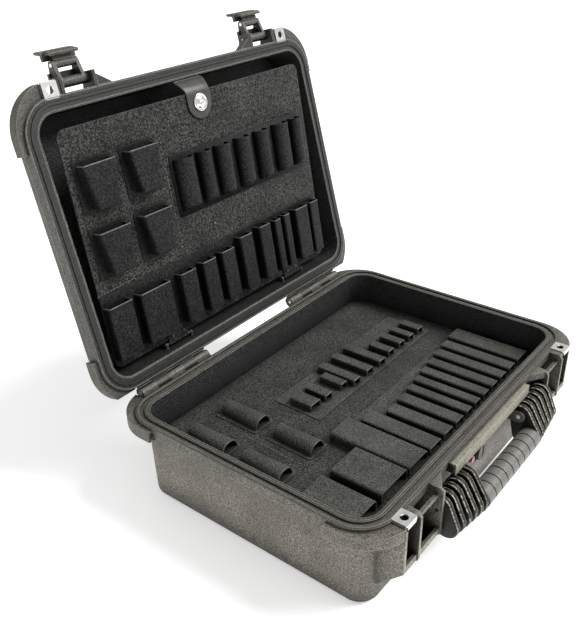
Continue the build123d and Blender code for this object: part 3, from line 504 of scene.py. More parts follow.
@dataclass(frozen=True)
class ShellPlastic(MouldedPlastic):
    """The plastic of a shell, with a darker and coarser inside."""

    inside: Colour = (0.006, 0.006, 0.006)
    inside_dust: Colour = (0.075, 0.078, 0.074)
    rim: Colour = (0.03, 0.029, 0.026)
    rim_dust: Colour = (0.1, 0.097, 0.088)
    slope_x: float = 0.059
    slope_y: float = 0.018
    low: float = 3.0 * MM
    high: float = 112.6 * MM
    rim_face: float = 113.0 * MM
    band: tuple[float, float] = (94 * MM, 99 * MM)
    band_tone: float = 0.7
    # Whether light is painted on the ledge's face, and its pale painted-light colours with lighter
    # dust specks
    ledge: bool = True
    ledge_painted_light: Colour = (0.17, 0.158, 0.125)
    ledge_dust_and_light: Colour = (0.4, 0.375, 0.305)
    # Each pair is where a soft border starts and ends
    ledge_half: tuple[float, float] = (88.2 * MM, 88.6 * MM)
    ledge_front: tuple[float, float] = (-164 * MM, -163.6 * MM)
    ledge_top: tuple[float, float] = (110.2 * MM, 110.6 * MM)
    ledge_low: tuple[float, float] = (96.6 * MM, 96.9 * MM)
    seam_x: float = -69.0 * MM
    seam_half: tuple[float, float] = (0.35 * MM, 0.55 * MM)
    rim_half: tuple[float, float] = (0.7 * MM, 1.1 * MM)
    mouth_edge: tuple[float, float] = (1.6 * MM, 2.0 * MM)
    soft: float = 0.2 * MM
    turned: bool = False

    def ledge_light_share(self, graph: Graph, place: bpy.types.bpy_prop_collection) -> Socket:
        """Find the smooth face of the ledge over the handle, where light is painted on as a pale
        colour.

        Args:
            graph: The material's tree.
            place: Place in the shut case, as three numbers.

        Returns:
            A share that is one on the ledge and zero on its seam.
        """
        across, along, up = place
        off_seam = graph.maths("ABSOLUTE", graph.maths("SUBTRACT", across, self.seam_x))
        share = graph.spread(graph.maths("ABSOLUTE", across), *self.ledge_half, 1.0, 0.0)
        for value, edge, first in (
            (along, self.ledge_front, 1.0),
            (up, self.ledge_top, 1.0),
            (up, self.ledge_low, 0.0),
            (off_seam, self.seam_half, 0.0),
        ):
            side = graph.spread(value, *edge, first, 1.0 - first)
            share = graph.maths("MULTIPLY", share, side)
        return share

    def material(self) -> bpy.types.Material:
        """Build the material.

        Returns:
            The new material.
        """
        graph = Graph(self.name)
        place = self.shut_places(graph)
        up = place[2]
        specks = graph.spread(graph.noise(1.4 * self.grain, 2.0, 0.8), 0.47, 0.64, 0.0, 1.0)
        dark = graph.blend(specks, self.inside, self.inside_dust)
        rim = graph.blend(specks, self.rim, self.rim_dust)
        near = graph.maths("ABSOLUTE", graph.maths("SUBTRACT", up, self.rim_face))
        rim_share = graph.spread(near, *self.rim_half, 1.0, 0.0)
        wall = graph.shade(self.tone(graph), graph.spread(up, *self.band, 1.0, self.band_tone))
        outer = graph.blend(rim_share, wall, rim)
        # Paint the light that falls on the ledge's face as a pale colour
        if self.ledge:
            pale = graph.blend(specks, self.ledge_painted_light, self.ledge_dust_and_light)
            outer = graph.blend(self.ledge_light_share(graph, place), outer, pale)
        self.dress(graph, graph.blend(self.inner_share(graph, place), outer, dark))
        return graph.material

    def shut_places(self, graph: Graph) -> bpy.types.bpy_prop_collection:
        """Find a point's place in the shut case.

        Args:
            graph: The material's tree.

        Returns:
            The three sockets of the place.
        """
        places = graph.places
        if self.turned:
            mapping = graph.add("ShaderNodeMapping", vector_type="POINT")
            shut = LID_OPEN.inverted()
            mapping.inputs["Location"].default_value = shut.to_translation()
            mapping.inputs["Rotation"].default_value = shut.to_euler()
            graph.join(places, mapping.inputs["Vector"])
            places = mapping.outputs["Vector"]
        split = graph.add("ShaderNodeSeparateXYZ")
        graph.join(places, split.inputs[0])
        return split.outputs

    def inner_share(self, graph: Graph, place: bpy.types.bpy_prop_collection) -> Socket:
        """Find where a point is inside the mouth, with its rounded corners.

        Args:
            graph: The material's tree.
            place: Place in the shut case, as three numbers.

        Returns:
            A share that is one inside the mouth.
        """
        across, along, up = place
        ends = (up, RIM_TOP) if self.turned else (RIM_TOP, up)
        rise = graph.maths("SUBTRACT", *ends)
        squares = []
        for value, half, slope in (
            (across, MOUTH_HALF[0], self.slope_x),
            (along, MOUTH_HALF[1], self.slope_y),
        ):
            reach = graph.maths(
                "ADD", graph.maths("ABSOLUTE", value), graph.maths("MULTIPLY", rise, slope)
            )
            past = graph.maths("MAXIMUM", graph.maths("SUBTRACT", reach, half - MOUTH_CORNER), 0.0)
            squares.append(graph.maths("MULTIPLY", past, past))
        far = graph.maths("SQRT", graph.maths("ADD", squares[0], squares[1]))
        inner, outer = (MOUTH_CORNER + edge for edge in self.mouth_edge)
        shares = [graph.spread(far, inner, outer, 1.0, 0.0)]
        for edge, first, last in ((self.low, 0.0, 1.0), (self.high, 1.0, 0.0)):
            shares.append(graph.spread(up, edge - self.soft, edge + self.soft, first, last))
        return graph.maths("MULTIPLY", graph.maths("MULTIPLY", shares[0], shares[1]), shares[2])


@dataclass(frozen=True)
class FormedSheet:
    """Charcoal pallet sheet with an embossed leather grain and painted recess shade."""

    name: str
    colour: Colour
    dusty: Colour
    grain: float = 1.1 * MM
    depth: float = 0.16 * MM
    roughness: float = 0.55
    # reach and dark set the shade painted into recesses: how far it reaches, and the share of the
    # colour left in the deepest places
    reach: float = 18 * MM
    dark: float = 0.02
    shine: float = 0.3
    patch: float = 45 * MM
    edge: float = 1.1 * MM
    wear: float = 0.55
    worn_tone: float = 1.7

    def material(self) -> bpy.types.Material:
        """Build the material.

        Returns:
            The new material.
        """
        graph = Graph(self.name)
        cells = graph.pebbles(self.grain)
        specks = graph.spread(graph.noise(1.5 * self.grain, 2.0, 0.85), 0.44, 0.6, 0.0, 1.0)
        patches = graph.spread(graph.noise(self.patch, 3.0), 0.35, 0.68, 0.6, 1.0)
        tone = graph.blend(graph.maths("MULTIPLY", specks, patches), self.colour, self.dusty)
        normal, edge = graph.edges(self.edge)
        worn = graph.maths("MULTIPLY", edge, self.wear)
        light = tuple(self.worn_tone * c for c in self.dusty)
        # The colour is darkened by shade painted into recesses and corners
        colour = graph.shade(graph.blend(worn, tone, light), graph.painted_recess_shade(self.reach, self.dark))
        gloss = graph.spread(cells, 0.1, 0.7, self.roughness - 0.1, self.roughness + 0.12)
        graph.feed(Base_Color=colour, Roughness=gloss)
        height = graph.maths("ADD", cells, graph.noise(0.7 * self.grain, 3.0, 0.6))
        graph.bump(height, self.depth, normal)
        graph.set(IOR=1.48, Specular_IOR_Level=self.shine)
        return graph.material


@dataclass(frozen=True)
class Metal:
    """Plated or polished metal with fine brushing."""

    name: str
    colour: Colour
    roughness: float = 0.25
    brushing: float = 0.03 * MM
    stretch: float = 0.12
    scratch: float = 0.25 * MM
    smudge: float = 7 * MM
    dull_tone: float = 0.82
    edge: float = 0.4 * MM

    def material(self) -> bpy.types.Material:
        """Build the material.

        Returns:
            The new material.
        """
        graph = Graph(self.name)
        stretch = graph.add("ShaderNodeMapping", vector_type="POINT")
        stretch.inputs["Scale"].default_value = (self.stretch, 1.0, 1.0)
        graph.join(graph.places, stretch.inputs["Vector"])
        graph.places = stretch.outputs["Vector"]
        fine = graph.noise(self.scratch, 3.0, 0.6)
        smudge = graph.noise(self.smudge, 2.0)
        dull = tuple(self.dull_tone * c for c in self.colour)
        share = graph.spread(smudge, 0.4, 0.7, 0.0, 1.0)
        graph.feed(Base_Color=graph.blend(share, self.colour, dull))
        graph.gloss(fine, 0.75 * self.roughness, 1.35 * self.roughness)
        normal, _ = graph.edges(self.edge)
        graph.bump(fine, self.brushing, normal, 0.6)
        graph.set(Metallic=1.0)
        return graph.material


@dataclass(frozen=True)
class SoftSkin:
    """Rubber, strap or thread: a soft surface with a sheen, a fine grain and painted recess shade.
    """

    name: str
    colour: Colour
    light: Colour
    grain: float = 0.5 * MM
    depth: float = 0.06 * MM
    roughness: float = 0.6
    sheen: float = 0.05
    # dark and reach set the shade painted into recesses: the share of the colour left in the
    # deepest places, and how far it reaches
    dark: float = 0.2
    reach: float = 8 * MM
    patch: float = 9 * MM
    edge: float = 0.6 * MM

    def material(self) -> bpy.types.Material:
        """Build the material.

        Returns:
            The new material.
        """
        graph = Graph(self.name)
        specks = graph.spread(graph.noise(2 * self.grain, 3.0, 0.65), 0.38, 0.68, 0.0, 1.0)
        tone = graph.blend(specks, self.colour, self.light)
        # The colour is darkened by shade painted into recesses and corners
        graph.feed(Base_Color=graph.shade(tone, graph.painted_recess_shade(self.reach, self.dark)))
        graph.gloss(graph.noise(self.patch), self.roughness - 0.08, self.roughness + 0.08)
        normal, _ = graph.edges(self.edge)
        graph.bump(graph.noise(self.grain, 3.0, 0.6), self.depth, normal)
        graph.set(IOR=1.5, Sheen_Weight=self.sheen)
        return graph.material


@dataclass(frozen=True)
class GlossPlastic:
    """Smooth coloured plastic with a clear gloss."""

    name: str
    colour: Colour
    deep: Colour
    roughness: float = 0.18
    patch: float = 3 * MM
    smear: float = 1.5 * MM
    grain: float = 0.8 * MM
    depth: float = 0.02 * MM
    edge: float = 0.5 * MM

    def material(self) -> bpy.types.Material:
        """Build the material.

        Returns:
            The new material.
        """
        graph = Graph(self.name)
        share = graph.spread(graph.noise(self.patch, 2.0), 0.35, 0.65, 0.0, 1.0)
        graph.feed(Base_Color=graph.blend(share, self.colour, self.deep))
        graph.gloss(graph.noise(self.smear), 0.7 * self.roughness, 1.5 * self.roughness)
        normal, _ = graph.edges(self.edge)
        graph.bump(graph.noise(self.grain, 2.0), self.depth, normal)
        graph.set(IOR=1.5, Coat_Weight=0.3)
        return graph.material


Finish = MouldedPlastic | FormedSheet | Metal | SoftSkin | GlossPlastic


@dataclass
class Finishes:
    """All the finishes of the case, built once and shared by its pieces."""

    made: dict[str, bpy.types.Material] = field(default_factory=dict)

    def get(self, finish: Finish) -> bpy.types.Material:
        """Find the material of a finish, which is built the first time it is asked for.

        Args:
            finish: The finish.

        Returns:
            Its material.
        """
        if finish.name not in self.made:
            self.made[finish.name] = finish.material()
        return self.made[finish.name]


EXTERIOR = (0.06, 0.055, 0.046)
EXTERIOR_DUST = (0.34, 0.315, 0.262)
RUBBED = (0.5, 0.47, 0.4)
BASE_PLASTIC = ShellPlastic(
    "shell_plastic_base", EXTERIOR, EXTERIOR_DUST, RUBBED, reach=38 * MM, dark=0.04
)
# The lid's copy of the shell plastic, its wall and rim painted darker than the base's as painted
# shade on the open lid
LID_PLASTIC = ShellPlastic(
    "shell_plastic_lid",
    (0.03, 0.028, 0.024),
    (0.14, 0.132, 0.113),
    RUBBED,
    band_tone=1.0,
    ledge=False,
    rim=(0.016, 0.0165, 0.0155),
    rim_dust=(0.06, 0.061, 0.056),
    slope_x=0.093,
    slope_y=0.093,
    low=113.8 * MM,
    high=159.2 * MM,
    rim_face=113.4 * MM,
    turned=True,
)
LATCH_PLASTIC = MouldedPlastic(
    "latch_plastic", (0.03, 0.028, 0.025), (0.16, 0.15, 0.13), RUBBED, edge=1.1 * MM
)
HANDLE_PLASTIC = MouldedPlastic(
    "handle_plastic", (0.003, 0.003, 0.0027), (0.022, 0.021, 0.018), (0.42, 0.4, 0.34),
    grain=0.7 * MM, roughness=0.4, edge=1.0 * MM, wear=0.5, dark=0.0, shine=0.2,
)
# Pale colour painted as a highlight on the sloped bevels of the handle's fins
HANDLE_BEVEL_HIGHLIGHT = MouldedPlastic(
    "handle_bevel_highlight", (0.03, 0.028, 0.023), (0.62, 0.58, 0.47), (0.7, 0.65, 0.54),
    grain=2.2 * MM, roughness=0.45, reach=4 * MM, dark=0.4, relief=Grain.SATIN,
)
GRIP_SKIN = SoftSkin(
    "grip_skin", (0.06, 0.058, 0.053), (0.2, 0.19, 0.17), roughness=0.5, sheen=0.1, dark=0.1
)
LID_BOARD = FormedSheet(
    "lid_board_sheet", (0.001, 0.0012, 0.001), (0.078, 0.082, 0.073), grain=1.5 * MM, shine=0.2
)
LID_POCKETS = FormedSheet(
    "lid_pocket_sheet", (0.001, 0.0012, 0.001), (0.03, 0.0325, 0.03), grain=1.4 * MM, shine=0.2
)
BASE_BOARD = FormedSheet("base_board_sheet", (0.004, 0.0045, 0.004), (0.1, 0.101, 0.092))
BASE_POCKETS = FormedSheet(
    "base_pocket_sheet", (0.012, 0.012, 0.0105), (0.145, 0.145, 0.13), grain=0.8 * MM
)
STRAP_SKIN = SoftSkin("strap_skin", (0.012, 0.011, 0.0095), (0.06, 0.056, 0.048), roughness=0.42)
SEAL_RUBBER = SoftSkin(
    "seal_rubber", (0.006, 0.006, 0.006), (0.03, 0.03, 0.029), roughness=0.5, sheen=0.0
)
BRIGHT_STEEL = Metal("bright_steel", (0.86, 0.85, 0.82), 0.3)
PIN_STEEL = Metal("pin_steel", (0.7, 0.68, 0.65), 0.25)
DARK_STEEL = Metal("rivet_steel", (0.16, 0.155, 0.145), 0.4)
CHROME = Metal("snap_chrome", (0.9, 0.89, 0.87), 0.12, 0.01 * MM)
RED_PLUG = GlossPlastic("vent_red", (0.3, 0.006, 0.01), (0.16, 0.003, 0.006))
VALVE_PLASTIC = MouldedPlastic(
    "valve_plastic", (0.03, 0.028, 0.025), (0.15, 0.14, 0.12), (0.55, 0.52, 0.44),
    grain=0.6 * MM, roughness=0.38, wear=0.5,
)
HEM = SoftSkin("pocket_hem", (0.012, 0.012, 0.011), (0.15, 0.15, 0.135), roughness=0.42)
RIM_BEAD = MouldedPlastic(
    "rim_bead", (0.09, 0.085, 0.073), (0.3, 0.285, 0.245), RUBBED, grain=0.6 * MM, edge=0.3 * MM,
    dark=0.3,
)
THREAD = SoftSkin(
    "stitch_thread", (0.34, 0.34, 0.32), (0.5, 0.5, 0.47), 0.2 * MM, 0.03 * MM, dark=0.7
)


@dataclass
class Form:
    """The points and faces of a piece while it is made, in metres in the frame."""

    points: list[Vector] = field(default_factory=list)
    faces: list[tuple[int, ...]] = field(default_factory=list)

    def loft(self, rings: list[list[Vector]], ends: tuple[bool, bool] = (True, True)) -> int:
        """Join rings of points into a tube.

        Args:
            rings: The rings, all with as many points.
            ends: Whether the first and the last ring are closed.

        Returns:
            The index of the last ring's first point.
        """
        turns = len(rings[0])
        first = len(self.points)
        for ring in rings:
            self.points.extend(ring)
        last = len(self.points) - turns
        for a in range(first, last, turns):
            b = a + turns
            self.faces.extend(
                (a + i, a + (i + 1) % turns, b + (i + 1) % turns, b + i) for i in range(turns)
            )
        for closed, start in zip(ends, (first, last)):
            if closed:
                self.faces.append(tuple(range(start, start + turns)))
        return last

    def piece(self, name: str, smooth: bool = True) -> bpy.types.Object:
        """Make the object, with its normals outward.

        Args:
            name: The piece's name.
            smooth: Whether it is shaded smooth.

        Returns:
            The new object, at the origin.
        """
        mesh = bpy.data.meshes.new(name)
        mesh.from_pydata([tuple(p) for p in self.points], [], self.faces)
        work = bmesh.new()
        work.from_mesh(mesh)
        bmesh.ops.remove_doubles(work, verts=work.verts, dist=1e-7)
        bmesh.ops.recalc_face_normals(work, faces=work.faces)
        work.to_mesh(mesh)
        work.free()
        for polygon in mesh.polygons:
            polygon.use_smooth = smooth
        piece = bpy.data.objects.new(name, mesh)
        bpy.context.scene.collection.objects.link(piece)
        return piece


def settle(piece: bpy.types.Object, material: bpy.types.Material, body: str) -> None:
    """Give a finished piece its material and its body.

    Args:
        piece: The piece.
        material: Its material.
        body: The body it moves with.
    """
    piece.data.materials.clear()
    piece.data.materials.append(material)
    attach(piece, body)
    LOG.info("%s rides on %s with %d faces", piece.name, body, len(piece.data.polygons))


class NodeTool(Tree):
    """A Geometry Nodes tree that is built in the script and applied to paths."""

    def __init__(self, name: str, sizes: dict[str, float]) -> None:
        """Start a tree with a geometry input and named size inputs.

        Args:
            name: The tree's name.
            sizes: Default value of each named size.
        """
        super().__init__(bpy.data.node_groups.new(name, "GeometryNodeTree"))
        face = self.tree.interface
        face.new_socket("Geometry", in_out="INPUT", socket_type="NodeSocketGeometry")
        face.new_socket("Geometry", in_out="OUTPUT", socket_type="NodeSocketGeometry")
        self.keys: dict[str, str] = {}
        for label, value in sizes.items():
            kind = "NodeSocketInt" if isinstance(value, int) else "NodeSocketFloat"
            socket = face.new_socket(label, in_out="INPUT", socket_type=kind)
            socket.default_value = value
            self.keys[label] = socket.identifier
        self.start = self.add("NodeGroupInput")
        self.end = self.add("NodeGroupOutput")

    def close(self, geometry: Socket, material: bpy.types.Material) -> None:
        """End the tree: smooth shading, real instances and the material.

        Args:
            geometry: The geometry so far.
            material: The material that it takes.
        """
        real = self.add("GeometryNodeRealizeInstances")
        smooth = self.add("GeometryNodeSetShadeSmooth")
        finish = self.add("GeometryNodeSetMaterial")
        finish.inputs["Material"].default_value = material
        self.wire(
            (geometry, smooth.inputs[0]),
            (smooth.outputs[0], real.inputs[0]),
            (real.outputs[0], finish.inputs[0]),
            (finish.outputs[0], self.end.inputs[0]),
        )

    def apply(
        self, name: str, paths: list[list[Vector]], closed: bool = False, **sizes: float
    ) -> bpy.types.Object:
        """Run the tree on paths and return the plain mesh it makes.

        Args:
            name: The new piece's name.
            paths: Point lists, each one a path.
            closed: Whether each path's end joins its start.
            **sizes: Values for the named inputs, with underscores for spaces.

        Returns:
            The new object, with no modifier left on it.
        """
        points: list[Vector] = []
        links: list[tuple[int, int]] = []
        for path in paths:
            base = len(points)
            points.extend(path)
            links.extend((base + i, base + i + 1) for i in range(len(path) - 1))
            if closed:
                links.append((base + len(path) - 1, base))
        mesh = bpy.data.meshes.new(name)
        mesh.from_pydata([tuple(p) for p in points], links, [])
        piece = bpy.data.objects.new(name, mesh)
        bpy.context.scene.collection.objects.link(piece)
        modifier = piece.modifiers.new(name, "NODES")
        modifier.node_group = self.tree
        for label, value in sizes.items():
            modifier[self.keys[label.replace("_", " ")]] = value
        graph = bpy.context.evaluated_depsgraph_get()
        made = bpy.data.meshes.new_from_object(piece.evaluated_get(graph), depsgraph=graph)
        piece.modifiers.clear()
        piece.data = made
        return piece


# The smallest and largest stitch, as shares of the plain one
STITCH_SIZES = (0.8, 1.15)


def stitch_tool(material: bpy.types.Material) -> NodeTool:
    """Build the tree that lays stitches along paths.

    Args:
        material: The thread's material.

    Returns:
        The tree, with the inputs Pitch, Length, Thread and Seed.
    """
    tool = NodeTool(
        "stitch_run", {"Pitch": 4.4 * MM, "Length": 2.6 * MM, "Thread": 0.4 * MM, "Seed": 7}
    )
    curve = tool.add("GeometryNodeMeshToCurve")
    marks = tool.add("GeometryNodeCurveToPoints", mode="LENGTH")
    stitch = tool.add("GeometryNodeMeshUVSphere")
    stitch.inputs["Segments"].default_value = 6
    stitch.inputs["Rings"].default_value = 5
    stitch.inputs["Radius"].default_value = 0.5
    sizes = tool.add("ShaderNodeCombineXYZ")
    shape = tool.add("GeometryNodeTransform")
    chance = tool.add("FunctionNodeRandomValue", data_type="FLOAT")
    chance.inputs[2].default_value, chance.inputs[3].default_value = STITCH_SIZES
    spots = tool.add("GeometryNodeInstanceOnPoints")
    given = tool.start.outputs
    tool.wire(
        (given["Geometry"], curve.inputs[0]),
        (curve.outputs[0], marks.inputs["Curve"]),
        (given["Pitch"], marks.inputs["Length"]),
        (given["Thread"], sizes.inputs[0]),
        (given["Thread"], sizes.inputs[1]),
        (given["Length"], sizes.inputs[2]),
        (stitch.outputs["Mesh"], shape.inputs["Geometry"]),
        (sizes.outputs[0], shape.inputs["Scale"]),
        (given["Seed"], chance.inputs["Seed"]),
        (marks.outputs["Points"], spots.inputs["Points"]),
        (marks.outputs["Rotation"], spots.inputs["Rotation"]),
        (shape.outputs[0], spots.inputs["Instance"]),
        (chance.outputs[1], spots.inputs["Scale"]),
    )
    tool.close(spots.outputs[0], material)
    return tool


def bead_tool(material: bpy.types.Material) -> NodeTool:
    """Build the tree that sweeps a round bead along paths.

    Args:
        material: The bead's material.

    Returns:
        The tree, with the input Radius.
    """
    tool = NodeTool("moulded_bead", {"Radius": 0.6 * MM})
    curve = tool.add("GeometryNodeMeshToCurve")
    profile = tool.add("GeometryNodeCurvePrimitiveCircle")
    profile.inputs["Resolution"].default_value = 8
    sweep = tool.add("GeometryNodeCurveToMesh")
    tool.wire(
        (tool.start.outputs["Geometry"], curve.inputs[0]),
        (tool.start.outputs["Radius"], profile.inputs["Radius"]),
        (curve.outputs[0], sweep.inputs["Curve"]),
        (profile.outputs[0], sweep.inputs["Profile Curve"]),
    )
    for end in sweep.inputs:
        if end.name == "Fill Caps":
            end.default_value = True
    tool.close(sweep.outputs[0], material)
    return tool


def mouth_path(offset: float, height: float, steps: int = 10) -> list[Vector]:
    """Trace the mouth's outline at an offset from its edge, at a height in the shut case.

    Args:
        offset: Distance outward from the mouth's edge, in metres.
        height: Height above the floor, in metres.
        steps: Segments in each corner.

    Returns:
        The points of the closed outline.
    """
    radius = MOUTH_CORNER + offset
    centre_x = MOUTH_HALF[0] - MOUTH_CORNER
    centre_y = MOUTH_HALF[1] - MOUTH_CORNER
    points = []
    for corner, (sx, sy) in enumerate(((1, 1), (-1, 1), (-1, -1), (1, -1))):
        for step in range(steps + 1):
            angle = math.radians(90.0) * (corner + step / steps)
            points.append(
                Vector(
                    (
                        sx * centre_x + radius * math.cos(angle),
                        sy * centre_y + radius * math.sin(angle),
                        height,
                    )
                )
            )
    return points


def hull_ring(circles: list[Circle], shrink: float, turns: int = 72) -> list[tuple[float, float]]:
    """Follow the hull of circles.

    Args:
        circles: The circles as (y, z, radius), in millimetres.
        shrink: How much smaller each circle is taken.
        turns: Points around the hull.

    Returns:
        The hull's points as (y, z), in millimetres.
    """
    ring = []
    for step in range(turns):
        angle = 2 * math.pi * step / turns
        y, z = math.cos(angle), math.sin(angle)
        best = max(circles, key=lambda c: c[0] * y + c[1] * z + c[2])
        reach = best[2] - shrink
        ring.append((best[0] + reach * y, best[1] + reach * z))
    return ring


def slab(
    circles: list[Circle], one_end: float, other_end: float, bevel: float
) -> list[list[Vector]]:
    """Shape a plate with the outline of a hull of circles and softened edges.

    Args:
        circles: The circles as (y, z, radius), in millimetres.
        one_end: Where the plate starts or ends along the case, in millimetres.
        other_end: Its other end.
        bevel: Width of the softened edge, in millimetres.

    Returns:
        The plate's rings, to be lofted.
    """
    start, end = sorted((one_end, other_end))
    soft = 0.3 * bevel
    cuts = (
        (start, bevel), (start + soft, soft), (start + bevel, 0.0),
        (end - bevel, 0.0), (end - soft, soft), (end, bevel),
    )
    return [
        [MM * Vector((x, y, z)) for y, z in hull_ring(circles, shrink)] for x, shrink in cuts
    ]


@dataclass(frozen=True)
class HingeWeb:
    """The arc of a curved web between a rim and the hinges, in degrees and millimetres."""

    name: str
    body: str
    first: int
    last: int
    step: int
    lip: float


@dataclass
class Shells:
    """The base and lid shells with their hardware."""

    plates: tuple[str, ...] = (
        "base_padlock_plate_left",
        "base_padlock_plate_right",
        "lid_padlock_plate_left",
        "lid_padlock_plate_right",
    )
    hinge_pins: tuple[str, ...] = ("hinge_pin_left", "hinge_pin_right")
    bead_radius: float = 0.55 * MM
    bead_sunk: float = 0.3 * MM
    base_beads: tuple[float, ...] = (3.2 * MM, 12.9 * MM)
    lid_beads: tuple[float, ...] = (1.7 * MM, 14.1 * MM)
    lid_rim: float = 113.4 * MM
    webs: tuple[HingeWeb, ...] = (
        HingeWeb("hinge_cradles", "case", -176, -32, 12, 111.2),
        HingeWeb("lid_hinge_cradles", "lid", -165, -77, 11, 110.4),
    )
    web_ends: tuple[float, float] = (82.2, 189.6)
    web_radii: tuple[float, float] = (6.1, 7.7)
    web_root: tuple[tuple[float, float], tuple[float, float]] = ((160.4, 106.6), (160.4, 104.6))
    lip_y: float = 163.2

    def build(self, finishes: Finishes) -> None:
        """Raise the fine moulded beads that run round both rims.

        Args:
            finishes: The finishes of the case.
        """
        bead = bead_tool(finishes.get(RIM_BEAD))
        base = [mouth_path(offset, RIM_TOP - self.bead_sunk) for offset in self.base_beads]
        lid = [
            [LID_OPEN @ point for point in mouth_path(offset, self.lid_rim + self.bead_sunk)]
            for offset in self.lid_beads
        ]
        for body, paths in (("case", base), ("lid", lid)):
            piece = bead.apply(f"{body}_rim_beads", paths, closed=True, Radius=self.bead_radius)
            settle(piece, finishes.get(RIM_BEAD), body)
        self.build_cradles(finishes)

    def build_cradles(self, finishes: Finishes) -> None:
        """Form the curved webs that close both rims behind the hinges.

        Args:
            finishes: The finishes of the case.
        """
        axis_y, axis_z = HINGE_AXIS
        for web in self.webs:
            arc = [math.radians(angle) for angle in range(web.first, web.last + 1, web.step)]
            profile = [self.web_root[0], (self.lip_y, web.lip)]
            for radius, turn in zip(self.web_radii, (arc[1:], arc[::-1])):
                profile.extend(
                    (axis_y + radius * math.cos(angle), axis_z + radius * math.sin(angle))
                    for angle in turn
                )
            profile.append(self.web_root[1])
            place = Matrix.Identity(4)
            if web.body == "lid":
                profile = [(y, 2 * axis_z - z) for y, z in profile]
                place = LID_OPEN
            form = Form()
            for side in (-1, 1):
                form.loft(
                    [
                        [place @ (MM * Vector((side * x, y, z))) for y, z in profile]
                        for x in self.web_ends
                    ]
                )
            piece = form.piece(web.name, smooth=False)
            settle(piece, finishes.get(LATCH_PLASTIC), web.body)

    def dress(self, frame: dict, finishes: Finishes) -> None:
        """Give the shells, plates, pins and seal their materials."""
        paint(
            frame,
            finishes,
            {
                BASE_PLASTIC: ("base_shell",),
                LID_PLASTIC: ("lid_shell",),
                BRIGHT_STEEL: self.plates,
                PIN_STEEL: self.hinge_pins,
                SEAL_RUBBER: ("lid_seal",),
            },
        )


def paint(frame: dict, finishes: Finishes, table: dict[Finish, tuple[str, ...]]) -> None:
    """Give CAD nodes their finishes, in their own slots.

    Args:
        finishes: The finishes of the case.
        table: The names of the nodes that take each finish.
    """
    for finish, names in table.items():
        material = finishes.get(finish)
        for name in names:
            node = frame["nodes"][name]
            if not node.material_slots:
                node.data.materials.append(material)
            for entry in node.material_slots:
                entry.material = material
            LOG.info("%s takes %s", name, material.name)


@dataclass
class Latches:
    """The two latches with their arms, levers and pins."""

    hands: tuple[str, ...] = ("left", "right")

    def dress(self, frame: dict, finishes: Finishes) -> None:
        """Give the arms, levers and pins their materials."""
        for hand in self.hands:
            paint(
                frame,
                finishes,
                {
                    LATCH_PLASTIC: (f"latch_arm_{hand}", f"latch_lever_{hand}"),
                    PIN_STEEL: (f"latch_pin_{hand}", f"lever_pin_{hand}"),
                },
            )


@dataclass
class Handle:
    """The folding handle, and the valve behind it."""

    outer: float = 122.9
    inner: float = 63.4
    pivot: Circle = (-172.0, 83.0, 13.0)
    outer_heel: Circle = (-180.0, 63.0, 14.0)
    inner_heel: Circle = (-182.0, 60.0, 17.0)
    grip: Circle = (-187.0, 60.0, 9.0)
    fins: int = 6
    fin_share: float = 0.5
    depth: float = 6.0
    bevel: float = 0.9
    core_bevel: float = 0.2
    core_overlap: float = 1.0
    grip_overlap: float = 2.0
    # How far a face's normal leans along the case for the face to take the painted highlight
    highlight_lean: tuple[float, float] = (0.3, 0.97)

    def build(self, finishes: Finishes) -> None:
        """Form the finned frame: close rows of rounded fins on a recessed core and a tube.

        Args:
            finishes: The finishes of the case.
        """
        form = Form()
        pitch = (self.outer - self.inner) / (self.fins - 1 + self.fin_share)
        for side in (-1, 1):
            for index in range(self.fins):
                share = index / (self.fins - 1)
                heel = tuple(
                    a + share * (b - a) for a, b in zip(self.inner_heel, self.outer_heel)
                )
                near = self.inner + index * pitch
                far = near + self.fin_share * pitch
                form.loft(slab([self.pivot, heel], side * near, side * far, self.bevel))
                if index + 1 < self.fins:
                    core = [(y, z, r - self.depth) for y, z, r in (self.pivot, heel)]
                    far -= self.core_overlap
                    near += pitch + self.core_overlap
                    form.loft(slab(core, side * far, side * near, self.core_bevel))
        end = self.inner + self.grip_overlap
        form.loft(slab([self.grip], -end, end, self.core_bevel))
        piece = form.piece("finned_handle_frame")
        settle(piece, finishes.get(HANDLE_PLASTIC), "handle")
        # The fins' sloped bevels take the painted highlight
        piece.data.materials.append(finishes.get(HANDLE_BEVEL_HIGHLIGHT))
        low, high = self.highlight_lean
        for polygon in piece.data.polygons:
            if low < abs(polygon.normal.x) < high:
                polygon.material_index = 1
        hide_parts("handle_frame")

    def dress(self, frame: dict, finishes: Finishes) -> None:
        """Give the handle and the valve their materials."""
        paint(
            frame,
            finishes,
            {
                HANDLE_PLASTIC: ("handle_frame",),
                GRIP_SKIN: ("handle_grip",),
                PIN_STEEL: ("handle_pin_left", "handle_pin_right", "valve_nut"),
                VALVE_PLASTIC: ("valve_body", "valve_knob"),
                RED_PLUG: ("vent_plug",),
            },
        )


